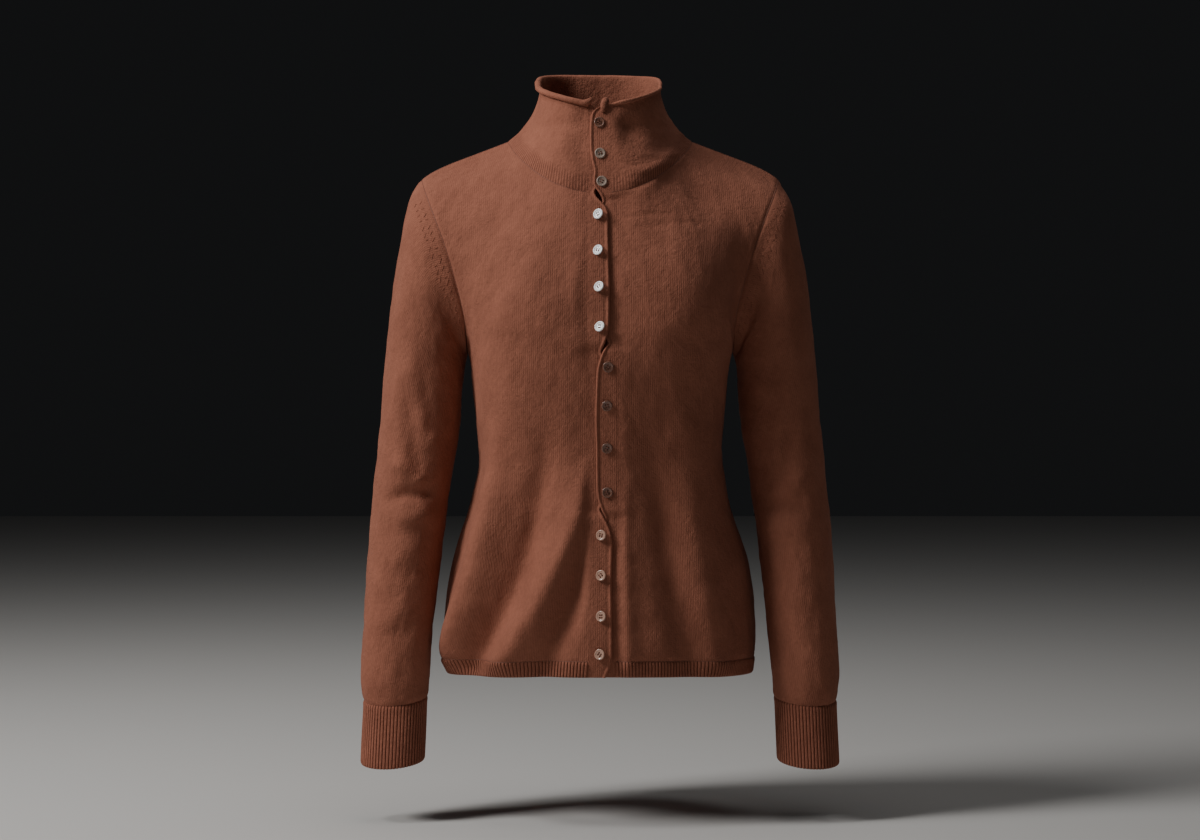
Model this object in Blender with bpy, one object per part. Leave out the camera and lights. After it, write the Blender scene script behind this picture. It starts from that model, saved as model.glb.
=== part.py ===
"""Mock neck cardigan in fine-gauge knit, in the form it has when worn, with no wearer.

Metres, +Z up. The front faces -Y and the wearer's left is at +X. The origin lies
between the shoulders, level with the high point of the shoulder, where a wearer's
shoulders hold the garment up.

Every cloth piece is a thin wall. Its outer surface is worked out from the short
tables below, and its inner surface is the same surface set back by the thickness
of the cloth. Pieces that are sewn together share the points of their seam and stand
SEAM_GAP apart there.
"""

import bpy
import bmesh
from collections import namedtuple
from math import atan2, ceil, cos, exp, hypot, pi, radians, sin
from mathutils import Matrix, Vector

# ---------------------------------------------------------------- driving sizes

JERSEY_WALL = 0.0015          # thickness of the fine jersey
RIB_WALL = 0.0017             # thickness of the rib between its ridges
RIB_RISE = 0.0008             # how far a rib stands out of that wall
BAND_WALL = 0.0022            # thickness of the doubled placket band
COLLAR_WALL = 0.0022          # thickness of the collar
SEAM_GAP = 0.0003             # space left between two sewn pieces

UNDERARM_Z = -0.2185          # height of the lowest point of the armhole
NECK_FRONT_Z = -0.0535        # height of the neck seam at the centre front
HEM_RIB_TOP_Z = -0.5405       # top of the hem rib at the centre front
HEM_Z = -0.557                # bottom edge at the centre front
HEM_SIDE_DROP = 0.005         # how much lower the hem hangs at the side seams
HEM_DROP_TOP_Z = -0.40        # height where that drop starts

NECK_COLUMNS_FRONT = 7        # columns of a front panel that end at the neck seam
NECK_COLUMNS_BACK = 6         # the same on each half of the back
SHOULDER_COLUMNS = 5          # columns that end at a shoulder seam
ARMHOLE_ROWS = 12             # rows between underarm and shoulder point

RIBS_HEM_FRONT = 26           # ribs on one front's hem (drawn coarser than knitted)
RIBS_HEM_BACK = 56            # ribs on the back's hem
RIBS_CUFF = 40                # ribs round one cuff

COLLAR_ROLL_RADIUS = 0.0034   # the self-rolled top edge
COLLAR_ROLL_POINTS = 7        # points of the roll's outline

BUTTON_RADIUS = 0.0057        # an 18 ligne button
BUTTON_THICKNESS = 0.0022
BUTTON_RIM = 0.0011           # width of the raised rim
BUTTON_DISH = 0.0006          # depth of the dished middle
BUTTON_SIDES = 12

LAYER_STEP = 0.00135          # half the distance between the two bands' faces
LAYER_BLEND = 0.028           # how far the step reaches into the front panel
BAND_TURN = 0.004             # width over which a band leaves its seam's line
BAND_ROW_SPACING = 0.022      # largest distance between two rows of a band
SHOULDER_ROUNDING = 0.62      # 0 gives a sharp ridge at the shoulder, 1 a round one
ARMHOLE_REACH = 2.2           # the higher, the nearer the armhole its curve stays
NECK_CORNER_REACH = 3.0       # the same for the corner of neck and shoulder seam
NECK_LIFT_FRONT = 0.25        # how far the neck seam faces up at the centre front
NECK_LIFT_SHOULDER = 0.90     # and from the shoulder seams round the back
SLEEVE_LEAN_START = 5         # row of the sleeve table where the forearm leans
COLLAR_ROLL_START = -40.0     # the roll's outline, in degrees from straight out
COLLAR_ROLL_TURN = 250.0

# The body between hem and underarm: half its width and the depth of its back.
BodyRow = namedtuple("BodyRow", "z half_width back")
BODY = [
    BodyRow(-0.5650, 0.1622, 0.1130),
    BodyRow(-0.5530, 0.1649, 0.1135),
    BodyRow(-0.5195, 0.1675, 0.1145),
    BodyRow(-0.4882, 0.1664, 0.1130),
    BodyRow(-0.4558, 0.1622, 0.1090),
    BodyRow(-0.4250, 0.1543, 0.1020),
    BodyRow(-0.3920, 0.1427, 0.0930),
    BodyRow(-0.3618, 0.1350, 0.0850),
    BodyRow(-0.3359, 0.1307, 0.0815),
    BodyRow(-0.3000, 0.1328, 0.0835),
    BodyRow(-0.2592, 0.1363, 0.0900),
    BodyRow(-0.2320, 0.1378, 0.0945),
    BodyRow(-0.2185, 0.1432, 0.0965),
]
FRONT_FULLNESS = 0.60         # squareness of the front's cross-section
BACK_FULLNESS = 0.62          # squareness of the back's cross-section
SIDE_FULLNESS = 0.60          # how upright the sides stand

# The centre lines, seen from the side.
CentreRow = namedtuple("CentreRow", "z y")
CENTRE_FRONT = [
    CentreRow(-0.565, -0.1195),
    CentreRow(-0.525, -0.1230),
    CentreRow(-0.494, -0.1215),
    CentreRow(-0.458, -0.1180),
    CentreRow(-0.427, -0.1140),
    CentreRow(-0.392, -0.1105),
    CentreRow(-0.362, -0.1082),
    CentreRow(-0.336, -0.1085),
    CentreRow(-0.290, -0.1132),
    CentreRow(-0.259, -0.1172),
    CentreRow(-0.229, -0.1193),
    CentreRow(-0.195, -0.1175),
    CentreRow(-0.151, -0.1122),
    CentreRow(-0.120, -0.1058),
    CentreRow(-0.090, -0.0968),
    CentreRow(-0.0535, -0.0850),
    CentreRow(-0.020, -0.0768),
    CentreRow(0.000, -0.0720),
    CentreRow(0.030, -0.0650),
    CentreRow(0.050, -0.0600),
]
CENTRE_BACK = [
    CentreRow(-0.2185, 0.0965),
    CentreRow(-0.1750, 0.0995),
    CentreRow(-0.1250, 0.0985),
    CentreRow(-0.0800, 0.0925),
    CentreRow(-0.0450, 0.0820),
    CentreRow(-0.0125, 0.0670),
]

# One armhole from the underarm (way 0) to the shoulder point (way 1), on the
# front half and on the back half.
SeamRow = namedtuple("SeamRow", "way x y z")
ARMHOLE_FRONT = [
    SeamRow(0.00, 0.1432, 0.0000, -0.2185),
    SeamRow(0.12, 0.1424, -0.0270, -0.2075),
    SeamRow(0.26, 0.1445, -0.0470, -0.1830),
    SeamRow(0.42, 0.1525, -0.0560, -0.1480),
    SeamRow(0.58, 0.1625, -0.0560, -0.1130),
    SeamRow(0.74, 0.1745, -0.0470, -0.0800),
    SeamRow(0.88, 0.1860, -0.0270, -0.0510),
    SeamRow(1.00, 0.1930, 0.0000, -0.0324),
]
ARMHOLE_BACK = [
    SeamRow(0.00, 0.1432, 0.0000, -0.2185),
    SeamRow(0.12, 0.1430, 0.0290, -0.2080),
    SeamRow(0.26, 0.1470, 0.0510, -0.1840),
    SeamRow(0.42, 0.1555, 0.0610, -0.1490),
    SeamRow(0.58, 0.1660, 0.0610, -0.1140),
    SeamRow(0.74, 0.1775, 0.0500, -0.0810),
    SeamRow(0.88, 0.1880, 0.0280, -0.0520),
    SeamRow(1.00, 0.1930, 0.0000, -0.0324),
]

# A shoulder seam from the neck (way 0) to the shoulder point (way 1).
SHOULDER = [
    SeamRow(0.00, 0.1000, 0.0000, 0.0085),
    SeamRow(0.32, 0.1296, 0.0000, -0.0028),
    SeamRow(0.68, 0.1640, 0.0000, -0.0160),
    SeamRow(0.88, 0.1820, 0.0000, -0.0247),
    SeamRow(1.00, 0.1930, 0.0000, -0.0324),
]

# Half of the neck seam: the front quarter from the placket to the shoulder seam,
# and the back quarter from the shoulder seam to the centre back.
NECK_FRONT = [
    SeamRow(0.00, 0.0118, -0.0850, -0.0535),
    SeamRow(0.20, 0.0345, -0.0828, -0.0485),
    SeamRow(0.40, 0.0560, -0.0725, -0.0386),
    SeamRow(0.62, 0.0760, -0.0520, -0.0228),
    SeamRow(0.82, 0.0910, -0.0275, -0.0065),
    SeamRow(1.00, 0.1000, 0.0000, 0.0085),
]
NECK_BACK = [
    SeamRow(0.00, 0.1000, 0.0000, 0.0085),
    SeamRow(0.22, 0.0930, 0.0260, 0.0035),
    SeamRow(0.46, 0.0750, 0.0470, -0.0040),
    SeamRow(0.72, 0.0430, 0.0620, -0.0105),
    SeamRow(1.00, 0.0000, 0.0670, -0.0125),
]

# The collar's top, where its roll starts, as the neck seam runs, and how soon the
# collar turns upright above its seam (1 is a straight slope).
RimRow = namedtuple("RimRow", "way x y z turn")
COLLAR_TOP_FRONT = [
    RimRow(0.00, 0.0118, -0.0628, 0.0385, 1.0),
    RimRow(0.20, 0.0310, -0.0590, 0.0415, 1.0),
    RimRow(0.40, 0.0480, -0.0465, 0.0475, 1.3),
    RimRow(0.62, 0.0595, -0.0270, 0.0560, 1.8),
    RimRow(0.82, 0.0640, -0.0080, 0.0640, 2.2),
    RimRow(1.00, 0.0655, 0.0090, 0.0720, 2.4),
]
COLLAR_TOP_BACK = [
    RimRow(0.00, 0.0655, 0.0090, 0.0720, 2.4),
    RimRow(0.22, 0.0620, 0.0260, 0.0780, 2.2),
    RimRow(0.46, 0.0500, 0.0420, 0.0820, 1.9),
    RimRow(0.72, 0.0280, 0.0520, 0.0838, 1.6),
    RimRow(1.00, 0.0000, 0.0550, 0.0840, 1.5),
]
COLLAR_LEVELS = [0.0, 0.12, 0.30, 0.52, 0.76, 0.94]

# One sleeve from the cap to the cuff. outer and inner are the ends of a section in
# the front view; centre_y and depth place it and give half its depth.
SleeveRow = namedtuple("SleeveRow", "outer_x outer_z inner_x inner_z centre_y depth")
SLEEVE = [
    SleeveRow(0.2050, -0.0530, 0.1448, -0.2225, 0.0010, 0.0560),
    SleeveRow(0.2140, -0.0900, 0.1460, -0.2290, 0.0010, 0.0555),
    SleeveRow(0.2215, -0.1330, 0.1475, -0.2400, 0.0000, 0.0545),
    SleeveRow(0.2275, -0.1790, 0.1490, -0.2580, -0.0010, 0.0530),
    SleeveRow(0.2320, -0.2280, 0.1508, -0.2830, -0.0030, 0.0510),
    SleeveRow(0.2355, -0.2810, 0.1540, -0.3120, -0.0055, 0.0490),
    SleeveRow(0.2403, -0.3330, 0.1590, -0.3440, -0.0085, 0.0475),
    SleeveRow(0.2452, -0.3810, 0.1640, -0.3810, -0.0120, 0.0460),
    SleeveRow(0.2490, -0.4280, 0.1692, -0.4270, -0.0170, 0.0445),
    SleeveRow(0.2515, -0.4780, 0.1745, -0.4740, -0.0235, 0.0430),
    SleeveRow(0.2538, -0.5250, 0.1790, -0.5205, -0.0300, 0.0410),
    SleeveRow(0.2540, -0.5640, 0.1820, -0.5600, -0.0350, 0.0370),
    SleeveRow(0.2515, -0.5880, 0.1836, -0.5840, -0.0382, 0.0320),
]
SLEEVE_INNER_SHIFT = 0.0015   # the left sleeve hangs this much further out inside

# One cuff, with the same columns.
CUFF = [
    SleeveRow(0.2508, -0.5883, 0.1850, -0.5843, -0.0384, 0.0310),
    SleeveRow(0.2526, -0.6535, 0.1870, -0.6495, -0.0512, 0.0300),
]
CUFF_LEAN = radians(11.0)     # how far the forearm leans forward

# The placket. A band's seam and its free edge, across, at each height.
EdgeRow = namedtuple("EdgeRow", "z x")
SEAM_RIGHT = [
    EdgeRow(-0.565, -0.0142),
    EdgeRow(-0.545, -0.0125),
    EdgeRow(-0.500, -0.0095),
    EdgeRow(-0.420, -0.0090),
    EdgeRow(-0.370, -0.0068),
    EdgeRow(-0.300, -0.0062),
    EdgeRow(-0.250, -0.0070),
    EdgeRow(-0.200, -0.0118),
    EdgeRow(-0.090, -0.0126),
    EdgeRow(0.050, -0.0120),
]
SEAM_LEFT = [
    EdgeRow(-0.565, 0.0168),
    EdgeRow(-0.545, 0.0160),
    EdgeRow(-0.500, 0.0145),
    EdgeRow(-0.420, 0.0150),
    EdgeRow(-0.370, 0.0172),
    EdgeRow(-0.300, 0.0178),
    EdgeRow(-0.250, 0.0172),
    EdgeRow(-0.200, 0.0130),
    EdgeRow(-0.090, 0.0122),
    EdgeRow(0.050, 0.0120),
]
EDGE_RIGHT = [
    EdgeRow(-0.5570, 0.0060),
    EdgeRow(-0.5520, 0.0077),
    EdgeRow(-0.5460, 0.0105),
    EdgeRow(-0.5380, 0.0128),
    EdgeRow(-0.5050, 0.0127),
    EdgeRow(-0.4600, 0.0120),
    EdgeRow(-0.4180, 0.0131),
    EdgeRow(-0.4055, 0.0108),
    EdgeRow(-0.3995, 0.0084),
    EdgeRow(-0.3940, 0.0052),
    EdgeRow(-0.3890, 0.0026),
    EdgeRow(-0.3840, -0.0004),
    EdgeRow(-0.3740, 0.0060),
    EdgeRow(-0.3600, 0.0150),
    EdgeRow(-0.3000, 0.0162),
    EdgeRow(-0.2500, 0.0150),
    EdgeRow(-0.2340, 0.0080),
    EdgeRow(-0.2222, 0.0012),
    EdgeRow(-0.2170, 0.0030),
    EdgeRow(-0.2114, 0.0056),
    EdgeRow(-0.2047, 0.0077),
    EdgeRow(-0.1960, 0.0098),
    EdgeRow(-0.1520, 0.0103),
    EdgeRow(-0.1132, 0.0092),
    EdgeRow(-0.0860, 0.0086),
    EdgeRow(-0.0742, 0.0086),
    EdgeRow(-0.0684, 0.0058),
    EdgeRow(-0.0635, 0.0012),
    EdgeRow(-0.0582, -0.0042),
    EdgeRow(-0.0525, -0.0060),
    EdgeRow(-0.0440, 0.0010),
    EdgeRow(-0.0300, 0.0104),
    EdgeRow(0.0050, 0.0104),
    EdgeRow(0.0180, 0.0070),
    EdgeRow(0.0300, -0.0030),
    EdgeRow(0.0410, -0.0085),
]
EDGE_LEFT = [
    EdgeRow(-0.5570, -0.0096),
    EdgeRow(-0.5200, -0.0080),
    EdgeRow(-0.4600, -0.0078),
    EdgeRow(-0.4180, -0.0074),
    EdgeRow(-0.4040, -0.0020),
    EdgeRow(-0.3940, 0.0062),
    EdgeRow(-0.3866, 0.0022),
    EdgeRow(-0.3840, 0.0010),
    EdgeRow(-0.3794, -0.0005),
    EdgeRow(-0.3739, -0.0025),
    EdgeRow(-0.3640, -0.0039),
    EdgeRow(-0.3183, -0.0044),
    EdgeRow(-0.2900, -0.0053),
    EdgeRow(-0.2580, -0.0044),
    EdgeRow(-0.2394, -0.0033),
    EdgeRow(-0.2287, -0.0005),
    EdgeRow(-0.2222, 0.0022),
    EdgeRow(-0.2170, 0.0050),
    EdgeRow(-0.2114, 0.0094),
    EdgeRow(-0.2020, 0.0020),
    EdgeRow(-0.1900, -0.0090),
    EdgeRow(-0.1500, -0.0108),
    EdgeRow(-0.0900, -0.0108),
    EdgeRow(-0.0740, -0.0060),
    EdgeRow(-0.0635, 0.0034),
    EdgeRow(-0.0569, 0.0006),
    EdgeRow(-0.0525, -0.0020),
    EdgeRow(-0.0455, -0.0077),
    EdgeRow(-0.0298, -0.0062),
    EdgeRow(-0.0200, -0.0088),
    EdgeRow(-0.0069, -0.0108),
    EdgeRow(0.0158, -0.0110),
    EdgeRow(0.0302, -0.0096),
    EdgeRow(0.0353, -0.0068),
    EdgeRow(0.0392, 0.0004),
    EdgeRow(0.0410, 0.0030),
]

# Where the two bands change places, top and bottom of each change. Above the first
# one the left band is on top.
CROSSINGS = [(-0.0525, -0.0635), (-0.2114, -0.2222), (-0.3840, -0.3940)]

# The buttons from neck to hem.
ButtonRow = namedtuple("ButtonRow", "x z")
BUTTONS = [
    ButtonRow(-0.0007, 0.0212),
    ButtonRow(0.0001, -0.0122),
    ButtonRow(0.0018, -0.0423),
    ButtonRow(-0.0016, -0.0779),
    ButtonRow(-0.0018, -0.1162),
    ButtonRow(-0.0008, -0.1542),
    ButtonRow(0.0000, -0.1956),
    ButtonRow(0.0083, -0.2369),
    ButtonRow(0.0070, -0.2768),
    ButtonRow(0.0071, -0.3206),
    ButtonRow(0.0075, -0.3666),
    ButtonRow(0.0014, -0.4108),
    ButtonRow(0.0012, -0.4520),
    ButtonRow(0.0013, -0.4937),
    ButtonRow(-0.0001, -0.5326),
]

# The largest folds. A positive height is a ridge and a negative one a trough; face
# is -1 on the front and 1 on the back.
FoldRow = namedtuple("FoldRow", "face x0 z0 x1 z1 half_width height")
BODY_FOLDS = [
    FoldRow(-1, -0.012, -0.358, -0.104, -0.520, 0.015, 0.0045),
    FoldRow(-1, -0.010, -0.392, -0.068, -0.535, 0.011, -0.0040),
    FoldRow(-1, -0.026, -0.480, -0.046, -0.545, 0.010, 0.0030),
    FoldRow(-1, 0.024, -0.390, 0.044, -0.530, 0.011, -0.0032),
    FoldRow(-1, 0.070, -0.400, 0.096, -0.530, 0.018, 0.0040),
    FoldRow(-1, 0.115, -0.430, 0.132, -0.535, 0.013, -0.0028),
    FoldRow(-1, 0.030, -0.215, 0.118, -0.205, 0.014, -0.0016),
    FoldRow(1, 0.055, -0.360, 0.082, -0.535, 0.016, 0.0045),
    FoldRow(1, -0.048, -0.370, -0.066, -0.535, 0.017, 0.0040),
    FoldRow(1, 0.004, -0.345, 0.008, -0.540, 0.015, -0.0040),
    FoldRow(1, -0.095, -0.400, -0.118, -0.535, 0.014, -0.0032),
    FoldRow(1, 0.116, -0.420, 0.130, -0.535, 0.013, -0.0030),
    FoldRow(1, -0.090, -0.205, 0.085, -0.200, 0.018, -0.0022),
]
SLEEVE_FOLDS = [
    FoldRow(-1, 0.208, -0.262, 0.190, -0.345, 0.012, -0.0030),
    FoldRow(-1, 0.226, -0.330, 0.196, -0.372, 0.011, 0.0026),
    FoldRow(-1, 0.232, -0.410, 0.205, -0.440, 0.012, -0.0026),
    FoldRow(-1, 0.196, -0.470, 0.226, -0.500, 0.013, 0.0026),
    FoldRow(1, 0.205, -0.300, 0.190, -0.370, 0.013, -0.0032),
    FoldRow(1, 0.230, -0.400, 0.192, -0.430, 0.013, -0.0028),
]

# Heights of a front panel's rows at the placket between hem rib and underarm.
BODY_LEVELS = [
    HEM_RIB_TOP_Z, -0.512, -0.482, -0.452, -0.424, -0.398, -0.380,
    -0.350, -0.318, -0.286, -0.255, -0.232, UNDERARM_Z,
]

# Colours are linear, roughness as the finish needs.
Finish = namedtuple("Finish", "name colour roughness metallic")
JERSEY = Finish("terracotta jersey knit", (0.205, 0.068, 0.040, 1.0), 0.92, 0.0)
RIB = Finish("terracotta rib knit", (0.190, 0.062, 0.037, 1.0), 0.93, 0.0)
BAND = Finish("terracotta double knit band", (0.200, 0.066, 0.040, 1.0), 0.90, 0.0)
SHELL = Finish("shell-like button plastic", (0.52, 0.43, 0.36, 1.0), 0.28, 0.0)

MERGE_DISTANCE = 1e-6
CURVE_SAMPLES = 160


# ---------------------------------------------------------------- reading tables

def read(table, key, column, at):
    """Reads one column of a table at a place between its rows, on a smooth curve."""
    rows = sorted(table, key=lambda row: getattr(row, key))
    keys = [getattr(row, key) for row in rows]
    values = [getattr(row, column) for row in rows]
    at = min(max(at, keys[0]), keys[-1])
    last = len(keys) - 1
    left = max(i for i in range(last) if keys[i] <= at)
    span = keys[left + 1] - keys[left]
    t = (at - keys[left]) / span

    def slope(i):
        a = max(i - 1, 0)
        b = min(i + 1, last)
        return (values[b] - values[a]) / (keys[b] - keys[a])

    square = t * t
    cube = square * t
    return ((2 * cube - 3 * square + 1) * values[left]
            + (cube - 2 * square + t) * span * slope(left)
            + (3 * square - 2 * cube) * values[left + 1]
            + (cube - square) * span * slope(left + 1))


def read_straight(table, at):
    """Reads an edge table on straight lines between its rows."""
    rows = sorted(table, key=lambda row: row.z)
    if at <= rows[0].z:
        return rows[0].x
    for low, high in zip(rows, rows[1:]):
        if at <= high.z:
            return low.x + (high.x - low.x) * (at - low.z) / (high.z - low.z)
    return rows[-1].x


def seam_point(table, way):
    return Vector((read(table, "way", "x", way),
                   read(table, "way", "y", way),
                   read(table, "way", "z", way)))


def smooth_step(value):
    value = min(max(value, 0.0), 1.0)
    return value * value * (3.0 - 2.0 * value)


def spaced(points, count):
    """Sets count + 1 points at even distances along a line of many points."""
    lengths = [0.0]
    for before, after in zip(points, points[1:]):
        lengths.append(lengths[-1] + (after - before).length)
    result = []
    place = 0
    for step in range(count + 1):
        target = lengths[-1] * step / count
        while place < len(points) - 2 and lengths[place + 1] < target:
            place += 1
        run = lengths[place + 1] - lengths[place]
        share = (target - lengths[place]) / run
        result.append(points[place].lerp(points[place + 1], share))
    return result


def seam_points(table, count):
    """Points at even distances along a seam, from way 0 to way 1."""
    line = [seam_point(table, i / CURVE_SAMPLES) for i in range(CURVE_SAMPLES + 1)]
    return spaced(line, count)


def mirrored(point, side):
    return Vector((point.x * side, point.y, point.z))


# ---------------------------------------------------------------- centre and folds

def centre_front_y(z):
    return read(CENTRE_FRONT, "z", "y", z)


def front_facing(z):
    """Direction in which the centre front faces at one height."""
    step = 0.004
    slope = (centre_front_y(z + step) - centre_front_y(z - step)) / (2 * step)
    return Vector((0.0, -1.0, slope)).normalized()


def left_on_top(z):
    """1 where the left band is on top, -1 where the right one is."""
    level = 1.0
    for number, (top, bottom) in enumerate(CROSSINGS):
        turn = smooth_step((top - z) / (top - bottom))
        level += (-2.0 if number % 2 == 0 else 2.0) * turn
    return level


def layer_shift(side, z):
    """How far back the edge of one side's front lies, because of the overlap."""
    return -side * left_on_top(z) * LAYER_STEP


def seam_x(side, z):
    return read(SEAM_LEFT if side > 0 else SEAM_RIGHT, "z", "x", z)


def fold_height(folds, face, x, z):
    """Sum of the folds on one face at one place of the front view."""
    total = 0.0
    for fold in folds:
        if fold.face != face:
            continue
        run_x = fold.x1 - fold.x0
        run_z = fold.z1 - fold.z0
        length = hypot(run_x, run_z)
        along = ((x - fold.x0) * run_x + (z - fold.z0) * run_z) / length
        across = ((x - fold.x0) * run_z - (z - fold.z0) * run_x) / length
        beyond = max(-along, along - length, 0.0)
        reach = across ** 2 + beyond ** 2
        total += fold.height * exp(-reach / fold.half_width ** 2)
    return total


# ---------------------------------------------------------------- body surface

def hem_drop(x, z):
    """How much lower the cloth hangs towards the side seams near the hem."""
    share = smooth_step((HEM_DROP_TOP_Z - z) / (HEM_DROP_TOP_Z - HEM_Z))
    half = read(BODY, "z", "half_width", z)
    return HEM_SIDE_DROP * share * min(abs(x) / half, 1.0) ** 2


def quarter(half_width, depth, fullness):
    """A quarter of a body section, from the centre line to the side."""
    corners = [
        Vector((0.0, depth, 0.0)),
        Vector((fullness * half_width, depth, 0.0)),
        Vector((half_width, depth * SIDE_FULLNESS, 0.0)),
        Vector((half_width, 0.0, 0.0)),
    ]
    line = []
    for i in range(CURVE_SAMPLES + 1):
        t = i / CURVE_SAMPLES
        s = 1.0 - t
        line.append(corners[0] * s ** 3 + corners[1] * 3 * s * s * t
                    + corners[2] * 3 * s * t * t + corners[3] * t ** 3)
    return line


def front_section(side, z, columns):
    """One row of a front panel below the underarm, from placket to side seam."""
    line = quarter(read(BODY, "z", "half_width", z), centre_front_y(z), FRONT_FULLNESS)
    start = abs(seam_x(side, z))
    line = [point for point in line if point.x > start]
    line.insert(0, Vector((start, centre_front_y(z), 0.0)))
    row = spaced(line, columns)
    for point in row:
        reach = smooth_step(1.0 - (point.x - start) / LAYER_BLEND)
        point.y += layer_shift(side, z) * reach
        point.z = z - hem_drop(point.x, z)
    return [mirrored(point, side) for point in row]


def back_section(side, z, columns):
    """One row of a half back below the underarm, from centre to side seam."""
    line = quarter(read(BODY, "z", "half_width", z), read(BODY, "z", "back", z),
                   BACK_FULLNESS)
    row = spaced(line, columns)
    for point in row:
        point.z = z - hem_drop(point.x, z)
    return [mirrored(point, side) for point in row]


def patch(low, high, inner, outer):
    """Fills the space between four edges: rows run from inner to outer.

    The rows near a shoulder seam bend over towards it, so that front and back
    meet there in a round shoulder. The corner where neck and shoulder seam meet
    fades out below them into an even slope from the centre to the shoulder point.
    """
    rows = len(inner) - 1
    columns = len(low) - 1
    start = high[0]
    end = high[-1]
    grid = []
    for j in range(rows + 1):
        v = j / rows
        corner = v ** NECK_CORNER_REACH
        row = []
        for i in range(columns + 1):
            u = i / columns
            outward = u ** ARMHOLE_REACH
            even = Vector((high[i].x, start.y * cos(pi / 2 * u), start.lerp(end, u).z))
            upper = even.lerp(high[i], corner)
            rounding = SHOULDER_ROUNDING * smooth_step(u / 0.6)
            rise = v + (sin(pi / 2 * v) - v) * rounding
            close = v + (1.0 - cos(pi / 2 * v) - v) * rounding
            share = Vector((v, close, rise))
            point = Vector()
            for axis in range(3):
                w = share[axis]
                side_in = inner[j][axis] - (1 - w) * inner[0][axis] - w * inner[rows][axis]
                side_out = outer[j][axis] - (1 - w) * outer[0][axis] - w * outer[rows][axis]
                point[axis] = ((1 - w) * low[i][axis] + w * upper[axis]
                               + (1 - outward) * side_in + outward * side_out)
            row.append(point)
        grid.append(row)
    return grid


def front_grid(side):
    """The outer points of a front panel, from hem rib to shoulder."""
    columns = NECK_COLUMNS_FRONT + SHOULDER_COLUMNS
    rows = [front_section(side, z, columns) for z in BODY_LEVELS]
    neck = [mirrored(point, side) for point in seam_points(NECK_FRONT, NECK_COLUMNS_FRONT)]
    neck[0] = placket_point(side, NECK_FRONT_Z)
    shoulder = [mirrored(point, side) for point in seam_points(SHOULDER, SHOULDER_COLUMNS)]
    armhole = [mirrored(point, side) for point in seam_points(ARMHOLE_FRONT, ARMHOLE_ROWS)]
    placket = []
    for j in range(ARMHOLE_ROWS + 1):
        z = UNDERARM_Z + (NECK_FRONT_Z - UNDERARM_Z) * j / ARMHOLE_ROWS
        placket.append(placket_point(side, z))
    upper = patch(rows[-1], neck + shoulder[1:], placket, armhole)
    return rows + upper[1:]


def placket_point(side, z):
    return Vector((seam_x(side, z), centre_front_y(z) + layer_shift(side, z), z))


def back_half_grid(side):
    """The outer points of half the back, from the centre to the side."""
    columns = NECK_COLUMNS_BACK + SHOULDER_COLUMNS
    rows = [back_section(side, z, columns) for z in BODY_LEVELS]
    neck = seam_points(NECK_BACK, NECK_COLUMNS_BACK)[::-1]
    shoulder = seam_points(SHOULDER, SHOULDER_COLUMNS)
    high = [mirrored(point, side) for point in neck + shoulder[1:]]
    armhole = [mirrored(point, side) for point in seam_points(ARMHOLE_BACK, ARMHOLE_ROWS)]
    centre = []
    for j in range(ARMHOLE_ROWS + 1):
        z = UNDERARM_Z + (high[0].z - UNDERARM_Z) * j / ARMHOLE_ROWS
        centre.append(Vector((0.0, read(CENTRE_BACK, "z", "y", z), z)))
    upper = patch(rows[-1], high, centre, armhole)
    return rows + upper[1:]


def back_grid():
    """The outer points of the whole back, from the right side to the left."""
    right = back_half_grid(-1)
    left = back_half_grid(1)
    return [r[:0:-1] + l for r, l in zip(right, left)]


# ---------------------------------------------------------------- walls

def grid_normals(grid, outward, closed=False):
    """A direction at each grid point, square to the cloth and facing outward."""
    last_row = len(grid) - 1
    last_column = len(grid[0]) - 1
    normals = []
    for j, row in enumerate(grid):
        line = []
        for i, point in enumerate(row):
            if closed:
                before = row[(i - 1) % last_column]
                after = row[(i + 1) % last_column]
            else:
                before = row[max(i - 1, 0)]
                after = row[min(i + 1, last_column)]
            below = grid[max(j - 1, 0)][i]
            above = grid[min(j + 1, last_row)][i]
            line.append(((after - before).cross(above - below) * outward).normalized())
        normals.append(line)
    return normals


def flatten(normal, axis):
    """Turns a direction into the plane square to one axis."""
    flat = normal.copy()
    flat[axis] = 0.0
    return flat.normalized()


def add_folds(grid, normals, folds, face, side=1):
    """Moves the inside of a grid out and in along its folds; its edges stay."""
    last_row = len(grid) - 1
    last_column = len(grid[0]) - 1
    for j in range(1, last_row):
        for i in range(1, last_column):
            point = grid[j][i]
            facing = smooth_step(normals[j][i].y * face * 1.6)
            height = fold_height(folds, face, point.x * side, point.z)
            grid[j][i] = point + normals[j][i] * height * facing


def inset_edges(outer, inner, edges):
    """Draws the named edges of a wall back from their seams by half the gap."""
    moves = []
    last_row = len(outer) - 1
    last_column = len(outer[0]) - 1
    for j in range(last_row + 1):
        for i in range(last_column + 1):
            if "low" in edges and j == 0:
                moves.append((j, i, outer[1][i] - outer[0][i]))
            if "high" in edges and j == last_row:
                moves.append((j, i, outer[j - 1][i] - outer[j][i]))
            if "start" in edges and i == 0:
                moves.append((j, i, outer[j][1] - outer[j][0]))
            if "end" in edges and i == last_column:
                moves.append((j, i, outer[j][i - 1] - outer[j][i]))
    for j, i, direction in moves:
        step = direction.normalized() * SEAM_GAP / 2
        outer[j][i] = outer[j][i] + step
        inner[j][i] = inner[j][i] + step


def set_back(grid, normals, wall):
    return [[point - normal * wall for point, normal in zip(row, line)]
            for row, line in zip(grid, normals)]


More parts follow.
